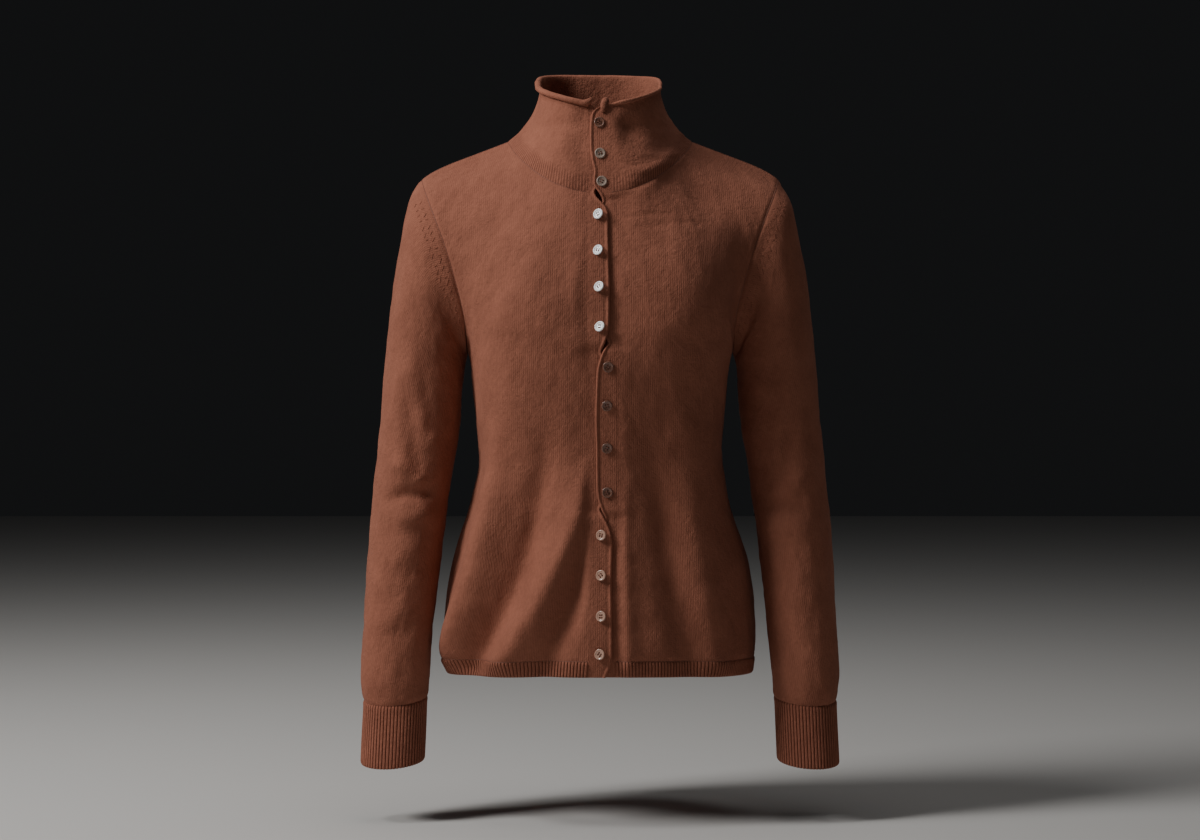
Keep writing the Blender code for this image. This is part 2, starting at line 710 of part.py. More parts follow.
def finish_piece(name, mesh_data, finish):
    """Makes the named object with its own material from a finished bmesh."""
    bmesh.ops.triangulate(mesh_data, faces=mesh_data.faces, quad_method="FIXED")
    mesh = bpy.data.meshes.new(name)
    mesh_data.to_mesh(mesh)
    mesh_data.free()
    mesh.shade_smooth()
    mesh.set_sharp_from_angle(angle=radians(50))
    material = bpy.data.materials.new(finish.name + " " + name)
    material.use_nodes = True
    surface = material.node_tree.nodes["Principled BSDF"]
    surface.inputs["Base Color"].default_value = finish.colour
    surface.inputs["Roughness"].default_value = finish.roughness
    surface.inputs["Metallic"].default_value = finish.metallic
    mesh.materials.append(material)
    piece = bpy.data.objects.new(name, mesh)
    bpy.context.scene.collection.objects.link(piece)
    return piece


def walled_piece(name, outer, inner, finish, closed=False):
    """A cloth wall between an outer and an inner grid of the same size."""
    rows = len(outer) - 1
    columns = len(outer[0]) - 1
    wall = bmesh.new()
    bmesh.ops.create_grid(wall, x_segments=columns, y_segments=rows, size=1.0)
    across = wall.verts.layers.int.new("across")
    along = wall.verts.layers.int.new("along")
    for vert in wall.verts:
        vert[across] = round((vert.co.x + 1.0) / 2.0 * columns)
        vert[along] = round((vert.co.y + 1.0) / 2.0 * rows)
        vert.co = outer[vert[along]][vert[across]]
    if closed:
        bmesh.ops.remove_doubles(wall, verts=wall.verts, dist=MERGE_DISTANCE)
    raised = bmesh.ops.extrude_face_region(wall, geom=wall.faces[:], use_keep_orig=True)
    for item in raised["geom"]:
        if isinstance(item, bmesh.types.BMVert):
            item.co = inner[item[along]][item[across]]
    bmesh.ops.recalc_face_normals(wall, faces=wall.faces)
    return finish_piece(name, wall, finish)


def swept_piece(name, outlines, finish):
    """A solid through a run of closed outlines, with both ends filled."""
    around = len(outlines[0])
    body = bmesh.new()
    bmesh.ops.create_grid(body, x_segments=around, y_segments=len(outlines) - 1, size=1.0)
    for vert in body.verts:
        place = round((vert.co.x + 1.0) / 2.0 * around) % around
        station = round((vert.co.y + 1.0) / 2.0 * (len(outlines) - 1))
        vert.co = outlines[station][place]
    bmesh.ops.remove_doubles(body, verts=body.verts, dist=MERGE_DISTANCE)
    bmesh.ops.holes_fill(body, edges=[edge for edge in body.edges if edge.is_boundary])
    bmesh.ops.recalc_face_normals(body, faces=body.faces)
    return finish_piece(name, body, finish)


# ---------------------------------------------------------------- seam directions

def armhole_facing(point, side):
    """Direction out of the armhole's ring at one of its points."""
    low = ARMHOLE_FRONT[0]
    high = ARMHOLE_FRONT[-1]
    centre = Vector(((low.x + high.x) / 2 * side, 0.0, (low.z + high.z) / 2))
    axis = Vector(((high.z - low.z) * side, 0.0, low.x - high.x)).normalized()
    outward = point - centre
    outward -= axis * outward.dot(axis)
    if abs(point.y) < MERGE_DISTANCE:
        outward.y = 0.0
    return outward.normalized()


def neck_facing(point):
    """Direction out of the neck seam: outward, and upward near the shoulders."""
    outward = Vector((point.x, point.y, 0.0))
    if abs(point.y) < MERGE_DISTANCE:
        outward.y = 0.0
    if point.z < NECK_FRONT_Z + MERGE_DISTANCE:
        outward.x = 0.0
    outward.normalize()
    share = smooth_step(1.0 - point.y / NECK_FRONT[0].y)
    lift = NECK_LIFT_FRONT + (NECK_LIFT_SHOULDER - NECK_LIFT_FRONT) * share
    outward.z = lift
    return outward.normalized()


# ---------------------------------------------------------------- cloth pieces

def make_front(side, name):
    grid = front_grid(side)
    normals = grid_normals(grid, side)
    add_folds(grid, normals, BODY_FOLDS, -1)
    normals = grid_normals(grid, side)
    top = len(grid) - 1
    first_armhole_row = len(BODY_LEVELS) - 1
    last = len(grid[0]) - 1
    for j in range(top + 1):
        normals[j][0] = front_facing(grid[j][0].z)
        if j < first_armhole_row:
            normals[j][last] = flatten(normals[j][last], 1)
        else:
            normals[j][last] = armhole_facing(grid[j][last], side)
    for i in range(last + 1):
        normals[0][i] = flatten(normals[0][i], 2)
        if i <= NECK_COLUMNS_FRONT:
            normals[top][i] = neck_facing(grid[top][i])
        elif i < last:
            normals[top][i] = flatten(normals[top][i], 1)
    inner = set_back(grid, normals, JERSEY_WALL)
    inset_edges(grid, inner, {"low", "high", "start", "end"})
    return walled_piece(name, grid, inner, JERSEY)


def make_back():
    grid = back_grid()
    normals = grid_normals(grid, -1)
    add_folds(grid, normals, BODY_FOLDS, 1)
    normals = grid_normals(grid, -1)
    top = len(grid) - 1
    first_armhole_row = len(BODY_LEVELS) - 1
    last = len(grid[0]) - 1
    for j in range(top + 1):
        for i, side in ((0, -1), (last, 1)):
            if j < first_armhole_row:
                normals[j][i] = flatten(normals[j][i], 1)
            else:
                normals[j][i] = armhole_facing(grid[j][i], side)
    for i in range(last + 1):
        normals[0][i] = flatten(normals[0][i], 2)
        if SHOULDER_COLUMNS <= i <= last - SHOULDER_COLUMNS:
            normals[top][i] = neck_facing(grid[top][i])
        elif 0 < i < last:
            normals[top][i] = flatten(normals[top][i], 1)
    inner = set_back(grid, normals, JERSEY_WALL)
    inset_edges(grid, inner, {"low", "high", "start", "end"})
    return walled_piece("back", grid, inner, JERSEY)


def sleeve_ring(row, side, count):
    """One section of a sleeve or cuff: from its outer point round the front."""
    shift = SLEEVE_INNER_SHIFT * side / 2
    outer = Vector((row.outer_x, row.centre_y, row.outer_z))
    inner = Vector((row.inner_x + shift, row.centre_y, row.inner_z))
    centre = (outer + inner) / 2
    half = (outer - inner) / 2
    ring = []
    for i in range(count + 1):
        angle = 2 * pi * i / count
        point = centre + half * cos(angle) + Vector((0.0, -row.depth * sin(angle), 0.0))
        ring.append(mirrored(point, side))
    ring[-1] = ring[0].copy()
    return ring


def lean(ring, angle):
    """Tips a ring forward about its own centre, as the forearm leans."""
    centre = sum(ring[:-1], Vector()) / (len(ring) - 1)
    turn = Matrix.Rotation(angle, 3, "X")
    return [centre + turn @ (point - centre) for point in ring]


def armhole_ring(side):
    """The armhole's points from the shoulder point round the front."""
    front = seam_points(ARMHOLE_FRONT, ARMHOLE_ROWS)[::-1]
    back = seam_points(ARMHOLE_BACK, ARMHOLE_ROWS)
    return [mirrored(point, side) for point in front + back[1:]]


def ring_facing(ring):
    """Directions out of a flat ring, in its own plane."""
    count = len(ring) - 1
    centre = sum(ring[:-1], Vector()) / count
    across = ring[0] - centre
    axis = across.cross(ring[count // 4] - centre).normalized()
    directions = []
    for i in range(count):
        along = ring[(i + 1) % count] - ring[i - 1]
        outward = along.cross(axis).normalized()
        if outward.dot(ring[i] - centre) < 0:
            outward = -outward
        directions.append(outward)
    directions.append(directions[0].copy())
    return directions


def make_sleeve(side, name):
    count = 2 * ARMHOLE_ROWS
    grid = [armhole_ring(side)]
    last = len(SLEEVE) - 1
    for number, row in enumerate(SLEEVE):
        tip = CUFF_LEAN * smooth_step((number - SLEEVE_LEAN_START)
                                      / (last - SLEEVE_LEAN_START))
        grid.append(lean(sleeve_ring(row, side, count), tip))
    normals = grid_normals(grid, side, closed=True)
    for face in (-1, 1):
        add_folds(grid[:-1], normals, SLEEVE_FOLDS, face, side)
    normals = grid_normals(grid, side, closed=True)
    normals[0] = [armhole_facing(point, side) for point in grid[0]]
    normals[-1] = ring_facing(grid[-1])
    inner = set_back(grid, normals, JERSEY_WALL)
    inset_edges(grid, inner, {"low"})
    for ring in (grid, inner):
        for line in ring:
            line[-1] = line[0].copy()
    return walled_piece(name, grid, inner, JERSEY, closed=True)


def make_cuff(side, name):
    count = 2 * RIBS_CUFF
    outer = []
    inner = []
    for row in (CUFF[0], CUFF[-1]):
        plain = lean(sleeve_ring(row, side, count), CUFF_LEAN)
        facing = ring_facing(plain)
        outer.append([point + direction * (RIB_RISE if i % 2 else 0.0)
                      for i, (point, direction) in enumerate(zip(plain, facing))])
        inner.append([point - direction * RIB_WALL
                      for point, direction in zip(plain, facing)])
        outer[-1][-1] = outer[-1][0].copy()
        inner[-1][-1] = inner[-1][0].copy()
    inset_edges(outer, inner, {"low"})
    return walled_piece(name, outer, inner, RIB, closed=True)


def rib_strip(name, rows):
    """A rib knit strip: every second column of its outer points stands out."""
    outer = []
    inner = []
    for row in rows:
        last = len(row) - 1
        normals = []
        for i in range(last + 1):
            along = row[min(i + 1, last)] - row[max(i - 1, 0)]
            normals.append(Vector((along.y, -along.x, 0.0)).normalized())
        normals[0] = end_facing(row[0], normals[0])
        normals[-1] = end_facing(row[-1], normals[-1])
        outer.append([point + normal * (RIB_RISE if i % 2 else 0.0)
                      for i, (point, normal) in enumerate(zip(row, normals))])
        inner.append([point - normal * RIB_WALL for point, normal in zip(row, normals)])
    inset_edges(outer, inner, {"high", "start", "end"})
    return walled_piece(name, outer, inner, RIB)


def end_facing(point, normal):
    """At a side seam a strip faces sideways, and at the placket forward."""
    if abs(point.y) < MERGE_DISTANCE:
        return flatten(normal, 1)
    return Vector((0.0, -1.0, 0.0))


def hem_row(side, z, columns):
    """A front's hem line at one height, read off the rows of the panel above."""
    row = front_section(side, z, NECK_COLUMNS_FRONT + SHOULDER_COLUMNS)
    return spaced(row, columns)


def make_hem_ribs():
    for side, name in ((-1, "hem_rib_front_right"), (1, "hem_rib_front_left")):
        rows = [hem_row(side, z, 2 * RIBS_HEM_FRONT) for z in (HEM_Z, HEM_RIB_TOP_Z)]
        if side < 0:
            rows = [row[::-1] for row in rows]
        rib_strip(name, rows)
    rows = []
    for z in (HEM_Z, HEM_RIB_TOP_Z):
        right = back_section(-1, z, RIBS_HEM_BACK)
        left = back_section(1, z, RIBS_HEM_BACK)
        rows.append((right[:0:-1] + left)[::-1])
    rib_strip("hem_rib_back", rows)


def collar_column(foot, top, turn):
    """The collar's outer line from the neck seam up to where its roll starts."""
    line = []
    for level in COLLAR_LEVELS:
        closing = 1.0 - (1.0 - level) ** turn
        line.append(Vector((foot.x + (top.x - foot.x) * closing,
                            foot.y + (top.y - foot.y) * closing,
                            foot.z + (top.z - foot.z) * level)))
    return line


def collar_stations():
    """Foot, top and turn of every collar column, from the right front round."""
    stations = []
    front = seam_points(NECK_FRONT, NECK_COLUMNS_FRONT)
    back = seam_points(NECK_BACK, NECK_COLUMNS_BACK)
    for i, foot in enumerate(front):
        way = i / NECK_COLUMNS_FRONT
        stations.append((foot, seam_point(COLLAR_TOP_FRONT, way),
                         read(COLLAR_TOP_FRONT, "way", "turn", way)))
    for i, foot in enumerate(back[1:], 1):
        way = i / NECK_COLUMNS_BACK
        stations.append((foot, seam_point(COLLAR_TOP_BACK, way),
                         read(COLLAR_TOP_BACK, "way", "turn", way)))
    right = [(mirrored(foot, -1), mirrored(top, -1), turn) for foot, top, turn in stations]
    return right[:-1] + stations[::-1]


def collar_end(side, level):
    """The collar's front edge, where the placket band starts."""
    top_z = COLLAR_TOP_FRONT[0].z
    z = NECK_FRONT_Z + (top_z - NECK_FRONT_Z) * level
    return placket_point(side, z)


def make_collar():
    stations = collar_stations()
    last = len(stations) - 1
    outlines = []
    grid = [collar_column(*station) for station in stations]
    for i, side in ((0, -1), (last, 1)):
        grid[i] = [collar_end(side, level) for level in COLLAR_LEVELS]
    normals = grid_normals(grid, 1)
    for i in range(last + 1):
        for j in range(len(COLLAR_LEVELS)):
            outward = Vector((grid[i][j].x, grid[i][j].y, 0.0))
            if normals[i][j].dot(outward) < 0:
                normals[i][j] = -normals[i][j]
            if i in (0, last):
                normals[i][j] = front_facing(grid[i][j].z)
        normals[i][0] = neck_facing(grid[i][0])
    for i in range(last + 1):
        column = [point.copy() for point in grid[i]]
        inner = [point - normal * COLLAR_WALL for point, normal in zip(column, normals[i])]
        rise = (column[1] - column[0]).normalized() * SEAM_GAP / 2
        column[0] += rise
        inner[0] += rise
        outlines.append(column + collar_roll(column, normals[i][-1]) + inner[::-1])
    for i, step in ((0, -1), (last, 1)):
        shift = Vector((step * SEAM_GAP / 2, 0.0, 0.0))
        outlines[i] = [point + shift for point in outlines[i]]
    return swept_piece("collar", outlines, JERSEY)


def collar_roll(column, normal):
    """Points of the rolled edge, from the outer wall over the top to the inside."""
    up = (column[-1] - column[-2]).normalized()
    centre = column[-1] + up * COLLAR_ROLL_RADIUS
    points = []
    for i in range(COLLAR_ROLL_POINTS):
        share = i / (COLLAR_ROLL_POINTS - 1)
        angle = radians(COLLAR_ROLL_START + COLLAR_ROLL_TURN * share)
        points.append(centre + normal * COLLAR_ROLL_RADIUS * cos(angle)
                      + up * COLLAR_ROLL_RADIUS * sin(angle))
    return points


# ---------------------------------------------------------------- placket

def placket_levels():
    """Heights of the points where panels, collar and rib meet the placket."""
    levels = [HEM_Z] + BODY_LEVELS
    for j in range(1, ARMHOLE_ROWS + 1):
        levels.append(UNDERARM_Z + (NECK_FRONT_Z - UNDERARM_Z) * j / ARMHOLE_ROWS)
    top_z = COLLAR_TOP_FRONT[0].z
    for level in COLLAR_LEVELS[1:]:
        levels.append(NECK_FRONT_Z + (top_z - NECK_FRONT_Z) * level)
    levels.append(EDGE_RIGHT[-1].z)
    return levels


def seam_line_point(side, z, levels):
    """The placket seam at one height, on the straight run between its points."""
    for low, high in zip(levels, levels[1:]):
        if z <= high + MERGE_DISTANCE:
            share = (z - low) / (high - low)
            return placket_point(side, low).lerp(placket_point(side, high), share)
    return placket_point(side, z)


def band_heights(edge_table):
    """Heights of a band's rows: its edge's, the crossings' and some between."""
    heights = {row.z for row in edge_table}
    for top, bottom in CROSSINGS:
        heights |= {top, (top + bottom) / 2, bottom}
    heights = sorted(heights)
    filled = [heights[0]]
    for z in heights[1:]:
        steps = ceil((z - filled[-1]) / BAND_ROW_SPACING)
        low = filled[-1]
        for step in range(1, steps + 1):
            filled.append(low + (z - low) * step / steps)
    return filled


def make_band(side, name):
    edge_table = EDGE_LEFT if side > 0 else EDGE_RIGHT
    levels = placket_levels()
    heights = band_heights(edge_table)
    outer = []
    inner = []
    for z in heights:
        seam = seam_line_point(side, z, levels)
        seam.x -= side * SEAM_GAP / 2
        edge_x = read_straight(edge_table, z)
        face_y = centre_front_y(z) + layer_shift(side, z)
        width = abs(edge_x - seam.x)
        row = []
        for share in (0.0, min(BAND_TURN / width, 0.4), 0.6, 1.0):
            turned = smooth_step(share * width / BAND_TURN)
            row.append(Vector((seam.x + (edge_x - seam.x) * share,
                               seam.y + (face_y - seam.y) * turned, z)))
        outer.append(row)
        facing = front_facing(z)
        if z in (heights[0], heights[-1]):
            facing = Vector((0.0, -1.0, 0.0))
        inner.append([point - facing * BAND_WALL for point in row])
    return walled_piece(name, outer, inner, BAND)


# ---------------------------------------------------------------- buttons

def make_button(number, row):
    """A round button with a raised rim, lying on the upper band."""
    depth = BUTTON_THICKNESS
    outline = [
        (0.0, 0.0),
        (BUTTON_RADIUS - 0.0008, 0.0),
        (BUTTON_RADIUS, depth * 0.55),
        (BUTTON_RADIUS - BUTTON_RIM / 2, depth),
        (BUTTON_RADIUS - BUTTON_RIM - 0.0004, depth - BUTTON_DISH),
        (0.0, depth - BUTTON_DISH),
    ]
    disc = bmesh.new()
    verts = [disc.verts.new((radius, 0.0, height)) for radius, height in outline]
    edges = [disc.edges.new(pair) for pair in zip(verts, verts[1:])]
    bmesh.ops.spin(disc, geom=verts + edges, cent=(0, 0, 0), axis=(0, 0, 1),
                   angle=2 * pi, steps=BUTTON_SIDES, use_merge=True)
    bmesh.ops.remove_doubles(disc, verts=disc.verts, dist=MERGE_DISTANCE)
    bmesh.ops.recalc_face_normals(disc, faces=disc.faces)
    facing = front_facing(row.z)
    tilt = atan2(facing.z, -facing.y)
    turn = Matrix.Rotation(pi / 2 - tilt, 4, "X")
    face_y = centre_front_y(row.z) - LAYER_STEP
    seat = Vector((row.x, face_y, row.z)) + facing * SEAM_GAP
    bmesh.ops.transform(disc, matrix=Matrix.Translation(seat) @ turn, verts=disc.verts)
    return finish_piece("button_%02d" % number, disc, SHELL)


def clear_scene():
    for item in list(bpy.data.objects):
        bpy.data.objects.remove(item)


def main():
    clear_scene()
    make_front(-1, "front_right")
    make_front(1, "front_left")
    make_back()
    make_sleeve(-1, "sleeve_right")
    make_sleeve(1, "sleeve_left")
    make_cuff(-1, "cuff_right")
    make_cuff(1, "cuff_left")
    make_collar()
    make_band(-1, "band_right")
    make_band(1, "band_left")
    make_hem_ribs()
    for number, row in enumerate(BUTTONS, 1):
        make_button(number, row)


main()
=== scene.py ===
"""The looks of a mock neck cardigan in fine-gauge knit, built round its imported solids.

Metres, +Z up. The front faces -Y and the wearer's left is at +X. Each cloth piece is
a fine grid on the form of its solid, from the same sizes, with folds, seams and ribs
worked into it, and a wall's thickness given to it at the end.
"""

from math import atan2, cos, pi, radians, sin

import bmesh
import bpy
import numpy as np
from bpy.props import FloatProperty, FloatVectorProperty, IntProperty, PointerProperty
from mathutils import Matrix, Vector


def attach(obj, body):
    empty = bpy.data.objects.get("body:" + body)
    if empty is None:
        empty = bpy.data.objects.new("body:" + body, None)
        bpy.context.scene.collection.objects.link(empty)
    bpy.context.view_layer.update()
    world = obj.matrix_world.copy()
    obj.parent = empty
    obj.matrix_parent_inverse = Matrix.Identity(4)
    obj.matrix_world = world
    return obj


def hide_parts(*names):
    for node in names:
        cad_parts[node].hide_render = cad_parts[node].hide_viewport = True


bl_info = {
    "name": "Mock Neck Cardigan",
    "version": (1, 0, 0),
    "blender": (4, 5, 0),
    "location": "View3D > Sidebar > Cardigan",
    "description": "Builds a fine-gauge cardigan with a mock neck round its solids",
    "category": "Object",
}

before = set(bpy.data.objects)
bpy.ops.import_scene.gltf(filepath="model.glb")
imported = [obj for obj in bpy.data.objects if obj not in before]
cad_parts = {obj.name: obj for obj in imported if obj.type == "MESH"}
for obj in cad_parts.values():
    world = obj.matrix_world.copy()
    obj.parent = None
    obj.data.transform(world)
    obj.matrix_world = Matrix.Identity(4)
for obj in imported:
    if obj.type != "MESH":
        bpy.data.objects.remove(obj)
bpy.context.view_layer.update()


# ---------------------------------------------------------------- tables of the form

def table(names, *rows):
    """A table with named columns, each of them an array."""
    return dict(zip(names.split(), np.array(rows, dtype=float).T))


UNDERARM_Z = -0.2185          # lowest point of the armhole
NECK_FRONT_Z = -0.0535        # neck seam at the centre front
HEM_RIB_TOP_Z = -0.5405
HEM_Z = -0.557
HEM_SIDE_DROP = 0.005         # how much lower the hem hangs at the side seams
HEM_DROP_TOP_Z = -0.40
LAYER_STEP = 0.00135          # half the distance between the two bands' faces
LAYER_BLEND = 0.028           # how far that step reaches into a front
BAND_TUCK = 0.0012            # how far a band's seam edge reaches under its front
BAND_STEP = 0.0005            # how much lower that edge lies
BAND_RISE = 0.0014            # width over which the band rises to its front's level
SEAM_GAP = 0.0003
FRONT_FULLNESS = 0.60         # squareness of the front's cross-section
BACK_FULLNESS = 0.62
SIDE_FULLNESS = 0.60
SHOULDER_ROUNDING = 0.62
ARMHOLE_REACH = 2.2
NECK_CORNER_REACH = 3.0
NECK_SHARE_FRONT = 7 / 12     # share of a front's width that ends at the neck seam
NECK_SHARE_BACK = 6 / 11      # the same on each half of the back
SLEEVE_LEAN_START = 5
SLEEVE_INNER_SHIFT = 0.0015
CUFF_LEAN = radians(11.0)
COLLAR_WALL_TOP = 0.94        # share of the collar's height where its roll starts
NECK_LENGTH = 0.115           # neck seam of one front
BACK_NECK_LENGTH = 0.112      # neck seam of half the back
SHOULDER_LENGTH = 0.100
ARMHOLE_LENGTH = 0.235        # on the front or on the back
SLEEVE_HALF_GIRTH = 0.170
COLLAR_HEIGHT = 0.090
CUFF_HEIGHT = 0.0665
CUFF_CELL = 0.0035            # height of one face of a cuff
HEM_CELL = 0.0021             # the same on a hem rib
HEM_FRONT_WIDTH = 0.193       # of the rib on one front
HEM_BACK_HALF_WIDTH = 0.222

# How deep each seam sinks, and the small numbers of cuffs, collar and stitches.
DIPS = {"front_hem": 0.0004, "front_top": 0.0003, "back_hem": 0.0006,
        "back_top": 0.0005, "sleeve_end": 0.0006, "cuff": 0.0008, "hem_rib": 0.0006,
        "collar": 0.0003}
CUFF_SWELL = 0.0002
CUFF_HUMPS = (0.02, 0.05)
CUFF_CALM = 0.01              # length below the seam where that swell sets in
COLLAR_RELIEF = 0.8           # share of the body's unevenness that the collar has
STRAND_BOW = 0.6              # under 1 the strands rise steeply and lie flat on top
STITCH_LOW = 0.75             # thickness of the seam cord between two stitches
STITCH_SWELL = 0.45           # and how much thicker it is at a stitch

# Half the body's width and the depth of its back, between hem and underarm.
BODY = table(
    "z half_width back",
    (-0.5650, 0.1622, 0.1130),
    (-0.5530, 0.1649, 0.1135),
    (-0.5195, 0.1675, 0.1145),
    (-0.4882, 0.1664, 0.1130),
    (-0.4558, 0.1622, 0.1090),
    (-0.4250, 0.1543, 0.1020),
    (-0.3920, 0.1427, 0.0930),
    (-0.3618, 0.1350, 0.0850),
    (-0.3359, 0.1307, 0.0815),
    (-0.3000, 0.1328, 0.0835),
    (-0.2592, 0.1363, 0.0900),
    (-0.2320, 0.1378, 0.0945),
    (-0.2185, 0.1432, 0.0965),
)
CENTRE_FRONT = table(
    "z y",
    (-0.565, -0.1195),
    (-0.525, -0.1230),
    (-0.494, -0.1215),
    (-0.458, -0.1180),
    (-0.427, -0.1140),
    (-0.392, -0.1105),
    (-0.362, -0.1082),
    (-0.336, -0.1085),
    (-0.290, -0.1132),
    (-0.259, -0.1172),
    (-0.229, -0.1193),
    (-0.195, -0.1175),
    (-0.151, -0.1122),
    (-0.120, -0.1058),
    (-0.090, -0.0968),
    (-0.0535, -0.0850),
    (-0.020, -0.0768),
    (0.000, -0.0720),
    (0.030, -0.0650),
    (0.050, -0.0600),
)
CENTRE_BACK = table(
    "z y",
    (-0.2185, 0.0965),
    (-0.1750, 0.0995),
    (-0.1250, 0.0985),
    (-0.0800, 0.0925),
    (-0.0450, 0.0820),
    (-0.0125, 0.0670),
)
ARMHOLE_FRONT = table(
    "way x y z",
    (0.00, 0.1432, 0.0000, -0.2185),
    (0.12, 0.1424, -0.0270, -0.2075),
    (0.26, 0.1445, -0.0470, -0.1830),
    (0.42, 0.1525, -0.0560, -0.1480),
    (0.58, 0.1625, -0.0560, -0.1130),
    (0.74, 0.1745, -0.0470, -0.0800),
    (0.88, 0.1860, -0.0270, -0.0510),
    (1.00, 0.1930, 0.0000, -0.0324),
)
ARMHOLE_BACK = table(
    "way x y z",
    (0.00, 0.1432, 0.0000, -0.2185),
    (0.12, 0.1430, 0.0290, -0.2080),
    (0.26, 0.1470, 0.0510, -0.1840),
    (0.42, 0.1555, 0.0610, -0.1490),
    (0.58, 0.1660, 0.0610, -0.1140),
    (0.74, 0.1775, 0.0500, -0.0810),
    (0.88, 0.1880, 0.0280, -0.0520),
    (1.00, 0.1930, 0.0000, -0.0324),
)
SHOULDER = table(
    "way x y z",
    (0.00, 0.1000, 0.0000, 0.0085),
    (0.32, 0.1296, 0.0000, -0.0028),
    (0.68, 0.1640, 0.0000, -0.0160),
    (0.88, 0.1820, 0.0000, -0.0247),
    (1.00, 0.1930, 0.0000, -0.0324),
)
NECK_FRONT = table(
    "way x y z",
    (0.00, 0.0118, -0.0850, -0.0535),
    (0.20, 0.0345, -0.0828, -0.0485),
    (0.40, 0.0560, -0.0725, -0.0386),
    (0.62, 0.0760, -0.0520, -0.0228),
    (0.82, 0.0910, -0.0275, -0.0065),
    (1.00, 0.1000, 0.0000, 0.0085),
)
NECK_BACK = table(
    "way x y z",
    (0.00, 0.1000, 0.0000, 0.0085),
    (0.22, 0.0930, 0.0260, 0.0035),
    (0.46, 0.0750, 0.0470, -0.0040),
    (0.72, 0.0430, 0.0620, -0.0105),
    (1.00, 0.0000, 0.0670, -0.0125),
)
# The rim stands a few millimetres higher than on the solid, as in the photo.
COLLAR_TOP_FRONT = table(
    "way x y z turn",
    (0.00, 0.0118, -0.0628, 0.0438, 1.0),
    (0.20, 0.0310, -0.0590, 0.0484, 1.0),
    (0.40, 0.0480, -0.0465, 0.0548, 1.3),
    (0.62, 0.0595, -0.0270, 0.0616, 1.8),
    (0.82, 0.0640, -0.0080, 0.0675, 2.2),
    (1.00, 0.0648, 0.0090, 0.0752, 2.4),
)
COLLAR_TOP_BACK = table(
    "way x y z turn",
    (0.00, 0.0648, 0.0090, 0.0752, 2.4),
    (0.22, 0.0618, 0.0260, 0.0820, 2.2),
    (0.46, 0.0500, 0.0420, 0.0866, 1.9),
    (0.72, 0.0280, 0.0520, 0.0886, 1.6),
    (1.00, 0.0000, 0.0550, 0.0888, 1.5),
)
# A sleeve's sections: their ends in the front view, their depth and where they lie.
SLEEVE = table(
    "outer_x outer_z inner_x inner_z centre_y depth",
    (0.2050, -0.0530, 0.1448, -0.2225, 0.0010, 0.0560),
    (0.2140, -0.0900, 0.1460, -0.2290, 0.0010, 0.0555),
    (0.2215, -0.1330, 0.1475, -0.2400, 0.0000, 0.0545),
    (0.2275, -0.1790, 0.1490, -0.2580, -0.0010, 0.0530),
    (0.2320, -0.2280, 0.1508, -0.2830, -0.0030, 0.0510),
    (0.2355, -0.2810, 0.1540, -0.3120, -0.0055, 0.0490),
    (0.2403, -0.3330, 0.1590, -0.3440, -0.0085, 0.0475),
    (0.2452, -0.3810, 0.1640, -0.3810, -0.0120, 0.0460),
    (0.2490, -0.4280, 0.1692, -0.4270, -0.0170, 0.0445),
    (0.2515, -0.4780, 0.1745, -0.4740, -0.0235, 0.0430),
    (0.2538, -0.5250, 0.1790, -0.5205, -0.0300, 0.0410),
    (0.2540, -0.5640, 0.1820, -0.5600, -0.0350, 0.0370),
    (0.2515, -0.5880, 0.1836, -0.5840, -0.0382, 0.0320),
)
CUFF = table(
    "outer_x outer_z inner_x inner_z centre_y depth",
    (0.2508, -0.5883, 0.1850, -0.5843, -0.0384, 0.0310),
    (0.2526, -0.6535, 0.1870, -0.6495, -0.0512, 0.0300),
)
# The seams between the fronts and the placket's bands, across, at each height.
BAND_SEAMS = table(
    "z right left",
    (-0.565, -0.0142, 0.0168),
    (-0.545, -0.0125, 0.0160),
    (-0.500, -0.0095, 0.0145),
    (-0.420, -0.0090, 0.0150),
    (-0.370, -0.0068, 0.0172),
    (-0.300, -0.0062, 0.0178),
    (-0.250, -0.0070, 0.0172),
    (-0.200, -0.0118, 0.0130),
    (-0.090, -0.0126, 0.0122),
    (0.050, -0.0120, 0.0120),
)
# The bands' free edges, which cross three times.
EDGE_RIGHT = table(
    "z x",
    (-0.5570, 0.0060),
    (-0.5520, 0.0077),
    (-0.5460, 0.0105),
    (-0.5380, 0.0128),
    (-0.5050, 0.0127),
    (-0.4600, 0.0120),
    (-0.4180, 0.0131),
    (-0.4055, 0.0108),
    (-0.3995, 0.0084),
    (-0.3940, 0.0052),
    (-0.3890, 0.0026),
    (-0.3840, -0.0004),
    (-0.3740, 0.0060),
    (-0.3600, 0.0150),
    (-0.3000, 0.0162),
    (-0.2500, 0.0150),
    (-0.2340, 0.0080),
    (-0.2222, 0.0012),
    (-0.2170, 0.0030),
    (-0.2114, 0.0056),
    (-0.2047, 0.0077),
    (-0.1960, 0.0098),
    (-0.1520, 0.0103),
    (-0.1132, 0.0092),
    (-0.0860, 0.0086),
    (-0.0742, 0.0086),
    (-0.0684, 0.0058),
    (-0.0635, 0.0012),
    (-0.0582, -0.0042),
    (-0.0525, -0.0060),
    (-0.0440, 0.0010),
    (-0.0300, 0.0104),
    (0.0050, 0.0104),
    (0.0180, 0.0070),
    (0.0300, -0.0030),
    (0.0410, -0.0085),
)
